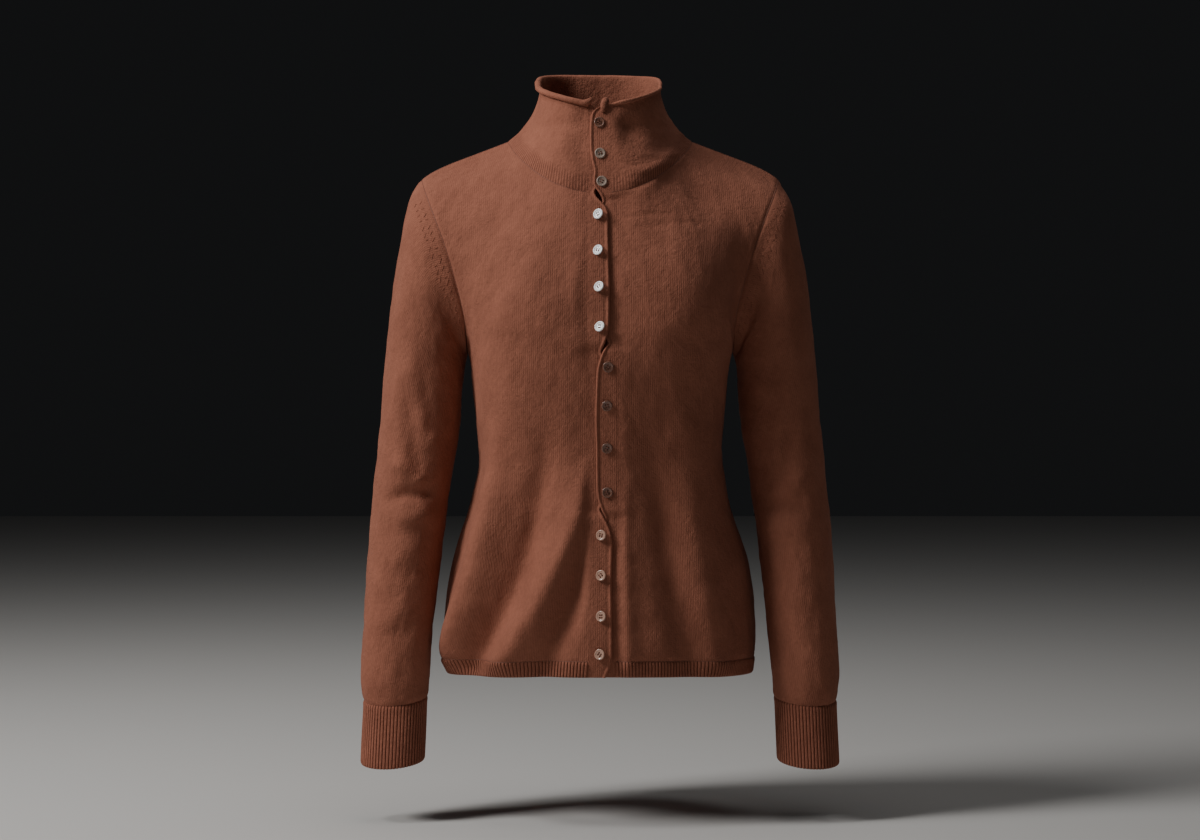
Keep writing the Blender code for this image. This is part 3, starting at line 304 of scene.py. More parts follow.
EDGE_LEFT = table(
    "z x",
    (-0.5570, -0.0096),
    (-0.5200, -0.0080),
    (-0.4600, -0.0078),
    (-0.4180, -0.0074),
    (-0.4040, -0.0020),
    (-0.3940, 0.0062),
    (-0.3866, 0.0022),
    (-0.3840, 0.0010),
    (-0.3794, -0.0005),
    (-0.3739, -0.0025),
    (-0.3640, -0.0039),
    (-0.3183, -0.0044),
    (-0.2900, -0.0053),
    (-0.2580, -0.0044),
    (-0.2394, -0.0033),
    (-0.2287, -0.0005),
    (-0.2222, 0.0022),
    (-0.2170, 0.0050),
    (-0.2114, 0.0094),
    (-0.2020, 0.0020),
    (-0.1900, -0.0090),
    (-0.1500, -0.0108),
    (-0.0900, -0.0108),
    (-0.0740, -0.0060),
    (-0.0635, 0.0034),
    (-0.0569, 0.0006),
    (-0.0525, -0.0020),
    (-0.0455, -0.0077),
    (-0.0298, -0.0062),
    (-0.0200, -0.0088),
    (-0.0069, -0.0108),
    (0.0158, -0.0110),
    (0.0302, -0.0096),
    (0.0353, -0.0068),
    (0.0392, 0.0004),
    (0.0410, 0.0030),
)
# Where the bands change places, top and bottom. Above the first the left is on top.
CROSSINGS = ((-0.0525, -0.0635), (-0.2114, -0.2222), (-0.3840, -0.3940))
BUTTONS = table(
    "x z",
    (-0.0007, 0.0212),
    (0.0001, -0.0122),
    (0.0018, -0.0423),
    (-0.0016, -0.0779),
    (-0.0018, -0.1162),
    (-0.0008, -0.1542),
    (0.0000, -0.1956),
    (0.0083, -0.2369),
    (0.0070, -0.2768),
    (0.0071, -0.3206),
    (0.0075, -0.3666),
    (0.0014, -0.4108),
    (0.0012, -0.4520),
    (0.0013, -0.4937),
    (-0.0001, -0.5326),
)

# Soft swells of the chest and belly in the front view: place, breadth and height.
FRONT_SWELLS = table(
    "x z width tall height",
    (-0.070, -0.178, 0.046, 0.056, 0.0100),
    (-0.100, -0.270, 0.033, 0.085, 0.0115),
    (0.098, -0.178, 0.047, 0.078, 0.0190),
    (0.098, -0.330, 0.044, 0.066, 0.0070),
)

SWELL_FADE = 0.035            # width over which the swells die out beside a seam
LEVEL_NEAR_HEM = 0.030        # height over which the folds turn level above the hem rib
CALM_BY_PLACKET = 0.014       # width over which the folds die out beside a band
FACING_GAIN = 1.6             # how soon the folds of a face reach their full depth
FOLD_RISE = 0.55              # share of a fold's length over which it deepens
FOLD_START = 0.15             # and how far along that it begins
# How far each button turns to its left and tips up, in degrees, as its thread lets it.
BUTTON_TILTS = (
    (-5, -4), (-4, -5), (-6, -3), (31, -2), (31, 3), (31, 10), (31, 14), (-5, -4),
    (-6, -3), (-5, -4), (-4, -4), (25, 1), (24, 0), (26, 1), (24, 8),
)

# Each button's copy of the one shell colour, from the neck down: painted shade on the
# first and on the four in the middle, the plain colour on the next two, painted
# highlight on the second four, which shine white, and painted half highlight on the four
# at the hem.
BUTTON_SHELLS_AND_LIGHTS = (("smoked",) + ("moulded",) * 2 + ("polished",) * 4 + ("smoked",) * 4
                 + ("warm",) * 4)

# Folds in the front view. A fold runs from (x0, z0) to (x1, z1), bowed sideways by
# bow at its middle; width is half its breadth at either end, height is positive for a
# ridge, and skew makes one flank steeper. face is -1 on the front and 1 on the back.
FOLD_COLUMNS = "face x0 z0 x1 z1 bow width0 width1 height skew"
BODY_FOLDS = table(
    FOLD_COLUMNS,
    (-1, -0.010, -0.335, -0.100, -0.540, -0.013, 0.0125, 0.0175, 0.0120, 0.0),
    (-1, -0.098, -0.300, -0.162, -0.545, -0.010, 0.014, 0.016, 0.0182, 0.0),
    (-1, -0.004, -0.385, -0.058, -0.552, -0.004, 0.010, 0.015, -0.0082, 0.0),
    (-1, -0.058, -0.300, -0.138, -0.550, -0.018, 0.013, 0.015, -0.0124, 0.0),
    (-1, -0.081, -0.218, -0.067, -0.338, 0.006, 0.022, 0.018, 0.0014, 0.0),
    (-1, 0.021, -0.330, 0.028, -0.545, 0.000, 0.009, 0.011, 0.0050, 0.0),
    (-1, 0.050, -0.290, 0.096, -0.545, 0.004, 0.013, 0.018, -0.0070, 0.0),
    (-1, 0.084, -0.250, 0.120, -0.545, 0.002, 0.015, 0.021, 0.0078, 0.0),
    (-1, 0.090, -0.078, 0.028, -0.080, 0.002, 0.0030, 0.0026, -0.0005, 0.0),
    (-1, 0.040, -0.092, 0.104, -0.088, -0.002, 0.0026, 0.0032, -0.0005, 0.0),
    (-1, 0.030, -0.215, 0.118, -0.205, 0.004, 0.012, 0.016, -0.0012, 0.0),
    (-1, -0.034, -0.222, -0.116, -0.206, 0.004, 0.012, 0.016, -0.0009, 0.0),
    (1, 0.055, -0.340, 0.082, -0.556, 0.004, 0.012, 0.019, 0.0052, 0.2),
    (1, -0.048, -0.350, -0.066, -0.556, 0.004, 0.013, 0.019, 0.0046, 0.0),
    (1, 0.004, -0.330, 0.008, -0.556, -0.005, 0.011, 0.017, -0.0050, 0.0),
    (1, -0.095, -0.390, -0.118, -0.556, 0.003, 0.010, 0.015, -0.0040, 0.1),
    (1, 0.116, -0.410, 0.130, -0.556, 0.002, 0.010, 0.014, -0.0036, 0.0),
    (1, -0.090, -0.205, 0.085, -0.200, 0.006, 0.014, 0.020, -0.0026, 0.0),
    (1, -0.070, -0.140, 0.060, -0.136, -0.005, 0.010, 0.014, -0.0014, 0.0),
)
SLEEVE_FOLDS = table(
    FOLD_COLUMNS,
    (-1, 0.210, -0.250, 0.194, -0.345, 0.002, 0.010, 0.013, -0.0062, 0.0),
    (-1, 0.186, -0.205, 0.178, -0.300, -0.002, 0.008, 0.010, -0.0024, 0.0),
    (-1, 0.226, -0.336, 0.194, -0.352, 0.003, 0.009, 0.011, 0.0052, 0.0),
    (-1, 0.230, -0.378, 0.184, -0.368, 0.003, 0.006, 0.009, -0.0058, 0.0),
    (-1, 0.224, -0.394, 0.188, -0.391, -0.003, 0.009, 0.011, 0.0034, 0.0),
    (-1, 0.232, -0.415, 0.186, -0.408, 0.003, 0.008, 0.011, -0.0012, 0.0),
    (-1, 0.236, -0.437, 0.196, -0.431, -0.003, 0.009, 0.012, 0.0009, 0.0),
    (-1, 0.234, -0.459, 0.190, -0.452, 0.003, 0.008, 0.012, -0.0010, 0.0),
    (-1, 0.240, -0.486, 0.202, -0.478, 0.003, 0.009, 0.012, -0.0009, 0.0),
    (-1, 0.196, -0.470, 0.228, -0.506, 0.003, 0.010, 0.012, 0.0016, 0.0),
    (-1, 0.238, -0.517, 0.204, -0.512, -0.002, 0.008, 0.009, -0.0012, 0.0),
    (-1, 0.212, -0.500, 0.208, -0.560, 0.002, 0.007, 0.008, -0.0010, 0.0),
    (1, 0.205, -0.290, 0.190, -0.370, 0.003, 0.009, 0.013, -0.0038, 0.0),
    (1, 0.230, -0.372, 0.184, -0.388, 0.002, 0.008, 0.010, 0.0036, 0.0),
    (1, 0.234, -0.400, 0.188, -0.430, 0.002, 0.009, 0.012, -0.0034, 0.0),
    (1, 0.190, -0.455, 0.236, -0.480, 0.003, 0.010, 0.012, 0.0024, 0.0),
    (1, 0.238, -0.500, 0.200, -0.508, 0.003, 0.006, 0.007, -0.0016, 0.0),
)
# The tips of the rolled edge beside the placket: their middle lines and radii.
ROLL_END_RIGHT = table(
    "x y z radius",
    (-0.0240, -0.0625, 0.0436, 0.0020),
    (-0.0205, -0.0636, 0.0428, 0.0030),
    (-0.0170, -0.0642, 0.0424, 0.0034),
    (-0.0138, -0.0646, 0.0428, 0.0036),
    (-0.0112, -0.0648, 0.0442, 0.0033),
    (-0.0096, -0.0649, 0.0462, 0.0024),
    (-0.0088, -0.0648, 0.0478, 0.0011),
)
ROLL_END_LEFT = table(
    "x y z radius",
    (0.0034, -0.0666, 0.0318, 0.0012),
    (0.0034, -0.0664, 0.0345, 0.0027),
    (0.0038, -0.0656, 0.0378, 0.0037),
    (0.0046, -0.0648, 0.0410, 0.0042),
    (0.0056, -0.0640, 0.0442, 0.0041),
    (0.0066, -0.0632, 0.0466, 0.0031),
    (0.0074, -0.0628, 0.0482, 0.0014),
)

LEFT_SLEEVE_CALM = 0.6        # the left arm's folds are this much weaker
LEFT_SLEEVE_LOWER = 0.013     # and lie this much lower
SLEEVE_END_CALM = 0.012       # length over which they die out at either end
EASE_EDGE = 0.020             # width over which smoothing dies out beside a side edge
EASE_ROWS = 34.0              # rows that it reaches, up and down
EASE_ROUNDS = 120

# Small unevenness of the knit: the humps' width and length, and their share.
RELIEF_CALM = 0.008           # width over which it dies out beside a seam
RELIEF_LAYERS = ((0.0060, 0.0085, 0.7), (0.0100, 0.0170, 1.1), (0.0300, 0.0500, 2.8))
HUMP_ROWS = 64                # rows of humps before they repeat
HUMP_LEAN = 0.37              # how far each row is shifted against the one below

# How the cloth dips into a seam and swells beside it.
DIP_WIDTH = 0.0016
SWELL_BESIDE = 0.0042         # how far from the seam
SWELL_WIDTH = 0.0018
SWELL_SHARE = 0.35

RIB_COLUMNS = 6               # columns of faces that make one ridge
RIB_ROUNDNESS = 3.2
RIB_SUNK = 0.25               # share of a ridge that lies below the cloth's level
RIB_START = 0.002             # height over which the ridges rise from their seam
RIB_END_DROP = 0.0006         # how far the ribs' free edge turns in
RIB_END_WIDTH = 0.0010
RIB_UNIT = 0.0031             # width of one rib on a rib piece's map

# Forms of the collar's front: a crease all along, and a hollow and a ledge at the left.
FRONT_DEPTH = 0.05            # depth from back to front over which they appear
CREASE_DEPTH = 0.0016
CREASE_Z = 0.0205
CREASE_WIDTH = 0.006
CREASE_FADE = 0.02
HOLLOW_DEPTH = 0.0058
HOLLOW_X = 0.034
HOLLOW_Z = 0.014
HOLLOW_WIDTH = 0.016
HOLLOW_TALL = 0.022
HOLLOW_FADE = 0.016
LEDGE_RISE = 0.0026
LEDGE_LEVEL = 0.011           # above the neck seam
LEDGE_WIDTH = 0.008
LEDGE_FROM_X = 0.012
LEDGE_TO_X = 0.10
LEDGE_FADE = 0.03

# The rolled edge: it is thinner at the left, and thinnest beside its tip there.
ROLL_STEPS = 26
ROLL_LIFT = 0.6               # its middle above the wall's top, in radii
ROLL_INNER = 0.42             # radius of its inmost turn, of the outer one
ROLL_THINNER = 0.45
ROLL_THIN_X = 0.055
ROLL_TIP_SHARE = 0.55
ROLL_TIP_LENGTH = 0.014
ROLL_END_SIDES = 16

# A band's columns, as shares of its width, closer at the rolled edge.
BAND_COLUMNS = (0.0, 0.05, 0.12, 0.22, 0.34, 0.46, 0.58, 0.68, 0.76, 0.82, 0.87, 0.91,
                0.945, 0.975, 1.0)
BAND_ROWS = 300
BEAD_FALL = 0.42              # width of the bead's slopes, of its own width
BEAD_FOOT = 1.35              # where the groove beside it lies, in its widths
BEAD_GROOVE = 0.0005
BEAD_END = 0.0007             # how far the band turns in at its very edge
BEAD_LINE = 0.0006            # width of that groove and of that turn
BAND_RELIEF = 0.00008
BAND_HUMPS = (0.006, 0.020)   # width and length

# A button's outline: how far in from its rim, and share of its thickness.
BUTTON_OUTLINE = ((0.0008, 0.0), (0.0002, 0.22), (0.0, 0.5), (0.00012, 0.78),
                  (0.0005, 0.95), (0.0009, 1.0), (0.0013, 0.96), (0.0017, 0.80),
                  (0.0022, 0.71))
DISH_LEVEL = 0.68             # height of its middle, of its thickness
BUTTON_STEPS = 40
HOLE_SEGMENTS = 16
BUTTON_EDGE = radians(42)     # its holes' edges are sharper than this
BUTTON_SPIN = 0.9             # turn of each button against the one above
STRAND_GAP = 0.0005           # between the two strands across a pair of holes
STRAND_RADIUS = 0.00027
STRAND_STEPS = 8
STRAND_SIDES = 6
STRAND_SINK = 0.0012          # how deep a strand starts in its hole
STRAND_ARCH = 0.0016

# Linked stitches along the seams, and marks where stitches were narrowed.
STITCH_PITCH = 0.0022
STITCH_RADIUS = 0.0004
NECK_STITCH_RADIUS = 0.0003
STITCH_SIDES = 5
MARK_RADIUS = 0.00046
MARK_LINES = (0.0045, 0.0070, 0.0100, 0.0130)   # from the armhole, two rows of marks
MARKS_FROM = 0.09             # shares of the way round the armhole, from the shoulder
MARKS_TO = 0.40
MARK_STEP = 0.016
MARK_SLANT = 0.2              # of a step, and how far a mark may stray

# Studio lights, as soft discs: place and size. Their strengths are settings.
LIGHTS = {
    "key": ((-2.06, -0.87, 1.35), 0.9),
    "high": ((-1.29, -0.55, 2.14), 0.6),
    "fill": ((2.39, -1.38, 0.21), 2.0),
    "top": ((0.10, 0.10, 2.45), 1.6),
}
LIGHT_TARGET = (0.0, 0.0, -0.28)
SENSOR_WIDTH = 36.0           # millimetres

HANDS = ((-1, "right"), (1, "left"))
CURVE_SAMPLES = 160
MERGE_DISTANCE = 1e-6
RIM_ANGLE = radians(68)       # cloth's cut edges are sharper than this, ribs are not
SEAMS = {}                    # the lines where finished pieces meet, for their stitches


# ---------------------------------------------------------------- settings

def size(name, description, default, **limits):
    """A length that a user may change."""
    return FloatProperty(name=name, description=description, default=default,
                         unit="LENGTH", precision=5, **limits)


def power(name, description, default):
    """The strength of a light, in watts."""
    return FloatProperty(name=name, description=description, default=default,
                         unit="POWER")


def share(name, description, default, top=1.0):
    """A plain factor that a user may change."""
    return FloatProperty(name=name, description=description, default=default,
                         min=0.0, max=top, subtype="FACTOR")


def linear(hex_colour):
    """Turns an sRGB hex colour into linear values."""
    parts = [int(hex_colour[i:i + 2], 16) / 255 for i in (0, 2, 4)]
    return tuple(part / 12.92 if part <= 0.04045 else ((part + 0.055) / 1.055) ** 2.4
                 for part in parts)


def colour(name, description, hex_colour):
    """A colour that a user may change, given as sRGB hex."""
    return FloatVectorProperty(name=name, description=description, size=3, min=0.0,
                               max=1.0, subtype="COLOR", default=linear(hex_colour))


class CardiganKnit(bpy.types.PropertyGroup):
    cell: size("Cell", "Size of one face of the cloth", 0.0026, min=0.001)
    wall: size("Jersey", "Thickness of the jersey", 0.0015, min=0.0005)
    wale: size("Wale", "Distance between two columns of stitches", 0.0022, min=0.0005)
    course: size("Course", "Height of one stitch", 0.0019, min=0.0005)
    folds: share("Folds", "How deep the folds are", 1.0, 2.0)
    relief: size("Relief", "Height of the small unevenness of the cloth", 0.00021)
    yarn: colour("Yarn", "Colour of the knitted cloth", "AA6C56")
    # The deeper colour serves the yarn's random mottle and the painted shade between the
    # stitches.
    shade_and_melange_yarn: colour("Shaded melange yarn", "Colour between the stitches", "6A3B2C")
    fuzz: colour("Fuzz", "Tint of the fine hairs that stand out", "D9A08C")


class CardiganRibs(bpy.types.PropertyGroup):
    wall: size("Wall", "Thickness of the rib between its ridges", 0.0017)
    rise: size("Rise", "How far a ridge stands out", 0.0012)
    hem_pitch: size("Hem pitch", "Distance between two ridges of the hem", 0.0031)
    cuff_ribs: IntProperty(name="Cuff ribs", description="Ridges round one cuff",
                           default=58, min=12)


class CardiganCollar(bpy.types.PropertyGroup):
    wall: size("Wall", "Thickness of the collar", 0.0016)
    roll_radius: size("Roll", "Outer radius of the rolled top edge", 0.0040)
    roll_turn: FloatProperty(name="Turn", description="How far the edge rolls",
                             default=radians(400.0), subtype="ANGLE")


class CardiganPlacket(bpy.types.PropertyGroup):
    wall: size("Wall", "Thickness of a doubled band", 0.0022)
    bead: size("Bead", "How far the rolled edge of a band stands out", 0.0010)
    bead_width: size("Bead width", "Width of that edge", 0.0032)


class CardiganButtons(bpy.types.PropertyGroup):
    radius: size("Radius", "Radius of a button", 0.0057)
    thickness: size("Thickness", "Thickness of its rim", 0.0019)
    hole: size("Hole", "Radius of a hole", 0.00085)
    hole_distance: size("Hole distance", "Holes from the middle", 0.00185)
    # Besides the plain shell colour, three copies paint light and shade onto the one
    # shell: painted highlight on the four that shine white, painted half highlight on
    # the four at the hem, painted shade on the first and the four in the middle.
    shell: colour("Shell", "Colour of the buttons", "9C897C")
    painted_highlight_shell_colour: colour("Painted highlight shell", "Colour of the four in the light", "FFFDFA")
    painted_half_highlight_shell_colour: colour("Painted half highlight shell", "Colour of the four at the hem", "B48F7C")
    painted_shade_shell_colour: colour("Painted shade shell", "Colour of the four in the middle", "7A5546")
    thread: colour("Thread", "Colour of the sewing thread", "4A261C")


class CardiganStage(bpy.types.PropertyGroup):
    distance: size("Camera distance", "From the camera to the cardigan", 2.6)
    eye_height: size("Eye height", "Height of the camera", -0.2916)
    view_width: size("View width", "Width seen at the cardigan", 1.296)
    floor_height: size("Floor", "Height of the floor", -0.715)
    floor_size: size("Floor size", "Side of the floor", 16.0)
    floor: colour("Floor", "Colour of the floor", "D2CFCB")
    key: power("Key", "Strength of the main light", 47.0)
    high: power("High", "Strength of the second light above it", 15.0)
    fill: power("Fill", "Strength of the weak light opposite", 1.0)
    top: power("Top", "Strength of the light above the shoulders", 11.0)
    room: share("Room", "Strength of the light from all round", 0.010)
    sky: colour("Sky", "Colour of the light from all round", "E7EAEF")


SETTINGS = {
    "cardigan_knit": CardiganKnit,
    "cardigan_ribs": CardiganRibs,
    "cardigan_collar": CardiganCollar,
    "cardigan_placket": CardiganPlacket,
    "cardigan_buttons": CardiganButtons,
    "cardigan_stage": CardiganStage,
}


# ---------------------------------------------------------------- reading the tables

def hermite(keys, values, at):
    """Reads values between their keys on a smooth curve."""
    last = len(keys) - 1
    at = np.clip(at, keys[0], keys[-1])
    left = np.clip(np.searchsorted(keys, at, side="right") - 1, 0, last - 1)
    index = np.arange(last + 1)
    before = np.maximum(index - 1, 0)
    after = np.minimum(index + 1, last)
    shape = (-1,) + (1,) * (values.ndim - 1)
    gaps = (keys[after] - keys[before]).reshape(shape)
    slope = (values[after] - values[before]) / gaps
    span = keys[left + 1] - keys[left]
    t = ((at - keys[left]) / span).reshape(np.shape(at) + (1,) * (values.ndim - 1))
    span = span.reshape(t.shape)
    square = t * t
    cube = square * t
    return ((2 * cube - 3 * square + 1) * values[left]
            + (cube - 2 * square + t) * span * slope[left]
            + (3 * square - 2 * cube) * values[left + 1]
            + (cube - square) * span * slope[left + 1])


def read(rows, key, column, at):
    """Reads one column of a table at places between its rows."""
    return hermite(rows[key], rows[column], np.asarray(at, dtype=float))


def smooth_step(value):
    """Rises from 0 to 1 without a corner while the value does."""
    value = np.clip(value, 0.0, 1.0)
    return value * value * (3.0 - 2.0 * value)


def hump(distance, width):
    """A soft hump, 1 at its middle and near 0 at twice its width."""
    return np.exp(-(distance / width) ** 2)


def stacked(*parts):
    """Puts x, y and z, or u and v, together over their common shape."""
    return np.stack(np.broadcast_arrays(*parts), axis=-1)


def resample(line, fractions):
    """Points at the given shares of a line's length."""
    steps = np.linalg.norm(np.diff(line, axis=0), axis=1)
    lengths = np.concatenate(([0.0], np.cumsum(steps)))
    at = np.asarray(fractions) * lengths[-1]
    return np.stack([np.interp(at, lengths, line[:, k]) for k in range(3)], axis=1)


def seam_line(rows, fractions, side=1):
    """Points at the given shares of a seam's length."""
    way = np.linspace(0.0, 1.0, CURVE_SAMPLES + 1)
    line = stacked(*(read(rows, "way", axis, way) for axis in "xyz"))
    return resample(line, fractions) * (side, 1, 1)


def fractions(length, cell, dense_start=False, dense_end=False):
    """Shares from 0 to 1 about a cell apart, with closer ones at a seamed end."""
    steps = max(int(round(length / cell)), 2)
    places = list(range(steps + 1))
    if dense_start:
        places += [0.25, 0.55]
    if dense_end:
        places += [steps - 0.25, steps - 0.55]
    return np.array(sorted(places)) / steps


# ---------------------------------------------------------------- placket lines

def centre_front_y(z):
    """Depth of the centre front at some heights."""
    return read(CENTRE_FRONT, "z", "y", z)


def front_facing(z):
    """Directions in which the centre front faces at some heights."""
    step = 0.004
    slope = (centre_front_y(z + step) - centre_front_y(z - step)) / (2 * step)
    facing = stacked(0.0, -1.0, slope)
    return facing / np.linalg.norm(facing, axis=-1, keepdims=True)


def layer_shift(side, z):
    """How far back the edge of one side's front lies, because of the overlap."""
    level = np.ones_like(np.asarray(z, dtype=float))
    for number, (top, bottom) in enumerate(CROSSINGS):
        turn = smooth_step((top - z) / (top - bottom))
        level = level + (-2.0 if number % 2 == 0 else 2.0) * turn
    return -side * level * LAYER_STEP


def seam_x(side, z):
    """Where the seam between a front and its band lies across, at some heights."""
    return read(BAND_SEAMS, "z", "left" if side > 0 else "right", z)


def centre_front_points(side, z):
    """Points of a band's seam on the centre front, before the overlap moves it."""
    return stacked(seam_x(side, z), centre_front_y(z), z)


def placket_points(side, z):
    """The same points on their layer of the overlap."""
    points = centre_front_points(side, z)
    points[..., 1] += layer_shift(side, z)
    return points


# ---------------------------------------------------------------- body form

def hem_drop(x, z):
    """How much lower the cloth hangs towards the side seams near the hem."""
    near = smooth_step((HEM_DROP_TOP_Z - z) / (HEM_DROP_TOP_Z - HEM_Z))
    half = read(BODY, "z", "half_width", z)
    return HEM_SIDE_DROP * near * np.minimum(np.abs(x) / half, 1.0) ** 2


def quarter(half_width, depth, fullness):
    """A quarter of a body section, from the centre line to the side."""
    t = np.linspace(0.0, 1.0, CURVE_SAMPLES + 1)[:, None]
    corners = np.array([
        (0.0, depth, 0.0),
        (fullness * half_width, depth, 0.0),
        (half_width, depth * SIDE_FULLNESS, 0.0),
        (half_width, 0.0, 0.0),
    ])
    s = 1.0 - t
    return (corners[0] * s ** 3 + corners[1] * 3 * s * s * t
            + corners[2] * 3 * s * t * t + corners[3] * t ** 3)


def front_section(side, z, across):
    """One row of a front below the underarm, from placket to side seam."""
    half = float(read(BODY, "z", "half_width", z))
    depth = float(centre_front_y(z))
    start = abs(float(seam_x(side, z)))
    line = quarter(half, depth, FRONT_FULLNESS)
    first = np.interp(start, line[:, 0], line[:, 1])
    line = np.vstack([[start, first, 0.0], line[line[:, 0] > start]])
    row = resample(line, across)
    reach = smooth_step(1.0 - (row[:, 0] - start) / LAYER_BLEND)
    row[:, 1] += (depth - first) * reach
    row[:, 2] = z - hem_drop(row[:, 0], z)
    row[:, 0] *= side
    return row


def layered(grid, side):
    """Moves a front's placket edge to its layer of the overlap."""
    reach = smooth_step(1.0 - lengths_across(grid) / LAYER_BLEND)
    grid[:, :, 1] += layer_shift(side, grid[:, :1, 2]) * reach
    return grid


def back_section(side, z, across):
    """One row of half the back below the underarm, from centre to side seam."""
    half = float(read(BODY, "z", "half_width", z))
    depth = float(read(BODY, "z", "back", z))
    row = resample(quarter(half, depth, BACK_FULLNESS), across)
    row[:, 2] = z - hem_drop(row[:, 0], z)
    row[:, 0] *= side
    return row


def patch(low, high, inner, outer, u, v):
    """Fills the space between four edges, with a round shoulder at the top.

    u and v are the shares across and up. The corner where the neck seam meets the
    shoulder seam fades out below them.
    """
    start = high[0]
    end = high[-1]
    corner = (v ** NECK_CORNER_REACH)[:, None, None]
    outward = (u ** ARMHOLE_REACH)[None, :, None]
    even = np.stack([high[:, 0], start[1] * np.cos(pi / 2 * u),
                     start[2] + (end[2] - start[2]) * u], axis=1)[None]
    upper = even + (high[None] - even) * corner
    rounding = (SHOULDER_ROUNDING * smooth_step(u / 0.6))[None, :]
    way = v[:, None]
    rise = way + (np.sin(pi / 2 * way) - way) * rounding
    close = way + (1.0 - np.cos(pi / 2 * way) - way) * rounding
    part = stacked(way, close, rise)
    side_in = inner[:, None] - (1 - part) * inner[0] - part * inner[-1]
    side_out = outer[:, None] - (1 - part) * outer[0] - part * outer[-1]
    return ((1 - part) * low[None] + part * upper
            + (1 - outward) * side_in + outward * side_out)


def body_rows(cell):
    """Heights of the rows below the underarm, and shares of the armhole above."""
    way = fractions(UNDERARM_Z - HEM_RIB_TOP_Z, cell, dense_start=True)
    levels = HEM_RIB_TOP_Z + (UNDERARM_Z - HEM_RIB_TOP_Z) * way
    return levels, fractions(ARMHOLE_LENGTH, cell, dense_end=True)


def front_grid(side, cell):
    """A front's outer points, its row at the underarm and its column at the neck."""
    neck_way = fractions(NECK_LENGTH, cell, dense_start=True)
    shoulder_way = fractions(SHOULDER_LENGTH, cell, dense_end=True)
    u = np.concatenate([neck_way * NECK_SHARE_FRONT,
                        NECK_SHARE_FRONT + shoulder_way[1:] * (1 - NECK_SHARE_FRONT)])
    levels, v = body_rows(cell)
    rows = np.array([front_section(side, z, u) for z in levels])
    neck = seam_line(NECK_FRONT, neck_way, side)
    neck[0] = centre_front_points(side, np.float64(NECK_FRONT_Z))
    high = np.vstack([neck, seam_line(SHOULDER, shoulder_way, side)[1:]])
    armhole = seam_line(ARMHOLE_FRONT, v, side)
    placket = centre_front_points(side, UNDERARM_Z + (NECK_FRONT_Z - UNDERARM_Z) * v)
    upper = patch(rows[-1], high, placket, armhole, u, v)
    grid = eased(np.concatenate([rows, upper[1:]]), len(levels) - 1, True, True)
    grid = eased_across(grid, len(neck_way) - 1)
    return layered(grid, side), len(levels) - 1, len(neck_way) - 1


def back_half_grid(side, cell):
    """Half the back's outer points, its underarm row and its shoulder's columns."""
    neck_way = fractions(BACK_NECK_LENGTH, cell)
    shoulder_way = fractions(SHOULDER_LENGTH, cell, dense_end=True)
    u = np.concatenate([neck_way * NECK_SHARE_BACK,
                        NECK_SHARE_BACK + shoulder_way[1:] * (1 - NECK_SHARE_BACK)])
    levels, v = body_rows(cell)
    rows = np.array([back_section(side, z, u) for z in levels])
    neck = seam_line(NECK_BACK, 1.0 - neck_way, side)
    high = np.vstack([neck, seam_line(SHOULDER, shoulder_way, side)[1:]])
    armhole = seam_line(ARMHOLE_BACK, v, side)
    z = UNDERARM_Z + (high[0][2] - UNDERARM_Z) * v
    centre = stacked(0.0, read(CENTRE_BACK, "z", "y", z), z)
    upper = patch(rows[-1], high, centre, armhole, u, v)
    grid = eased(np.concatenate([rows, upper[1:]]), len(levels) - 1, False, True)
    grid = eased_across(grid, len(neck_way) - 1)
    return grid, len(levels) - 1, len(shoulder_way) - 1


# ---------------------------------------------------------------- shaping the cloth

def facings(grid, outward, closed=False):
    """A direction at each grid point, square to the cloth and facing outward."""
    if closed:
        ring = grid[:, :-1]
        across = np.roll(ring, -1, axis=1) - np.roll(ring, 1, axis=1)
        across = np.concatenate([across, across[:, :1]], axis=1)
    else:
        across = np.gradient(grid, axis=1)
    along = np.gradient(grid, axis=0)
    normal = np.cross(across, along) * outward
    return normal / np.maximum(np.linalg.norm(normal, axis=2, keepdims=True), 1e-12)


def eased(grid, row, start, end):
    """Smooths a grid along its columns near one row; its side edges stay."""
    across = lengths_across(grid)
    inside = smooth_step(across / EASE_EDGE) if start else np.ones_like(across)
    if end:
        inside = inside * smooth_step((across[:, -1:] - across) / EASE_EDGE)
    count = np.arange(len(grid))[:, None]
    near = np.clip(1.0 - np.abs(count - row) / EASE_ROWS, 0.0, 1.0)
    part = (smooth_step(near * 1.5) * inside)[:, :, None]
    for _ in range(EASE_ROUNDS):
        moved = grid.copy()
        moved[1:-1] = (grid[:-2] + 2.0 * grid[1:-1] + grid[2:]) / 4.0
        grid = grid + (moved - grid) * part
    return grid


def eased_across(grid, column):
    """Smooths a grid along its rows near one column, where neck and shoulder meet."""
    return eased(grid.transpose(1, 0, 2), column, True, True).transpose(1, 0, 2)


def lengths_across(grid):
    """Length of cloth from the first column to each point, row by row."""
    steps = np.linalg.norm(np.diff(grid, axis=1), axis=2)
    return np.concatenate([np.zeros((len(grid), 1)), np.cumsum(steps, axis=1)], axis=1)


def lengths_along(grid):
    """Length of cloth from the first row to each point, column by column."""
    return lengths_across(grid.transpose(1, 0, 2)).T


def edge_distance(*distances):
    """Distance from the nearest of several edges."""
    return np.minimum.reduce(distances)


def face_share(normal, face):
    """How much of a face's folds each point gets, by how it faces."""
    return smooth_step(normal[:, :, 1] * face * FACING_GAIN)


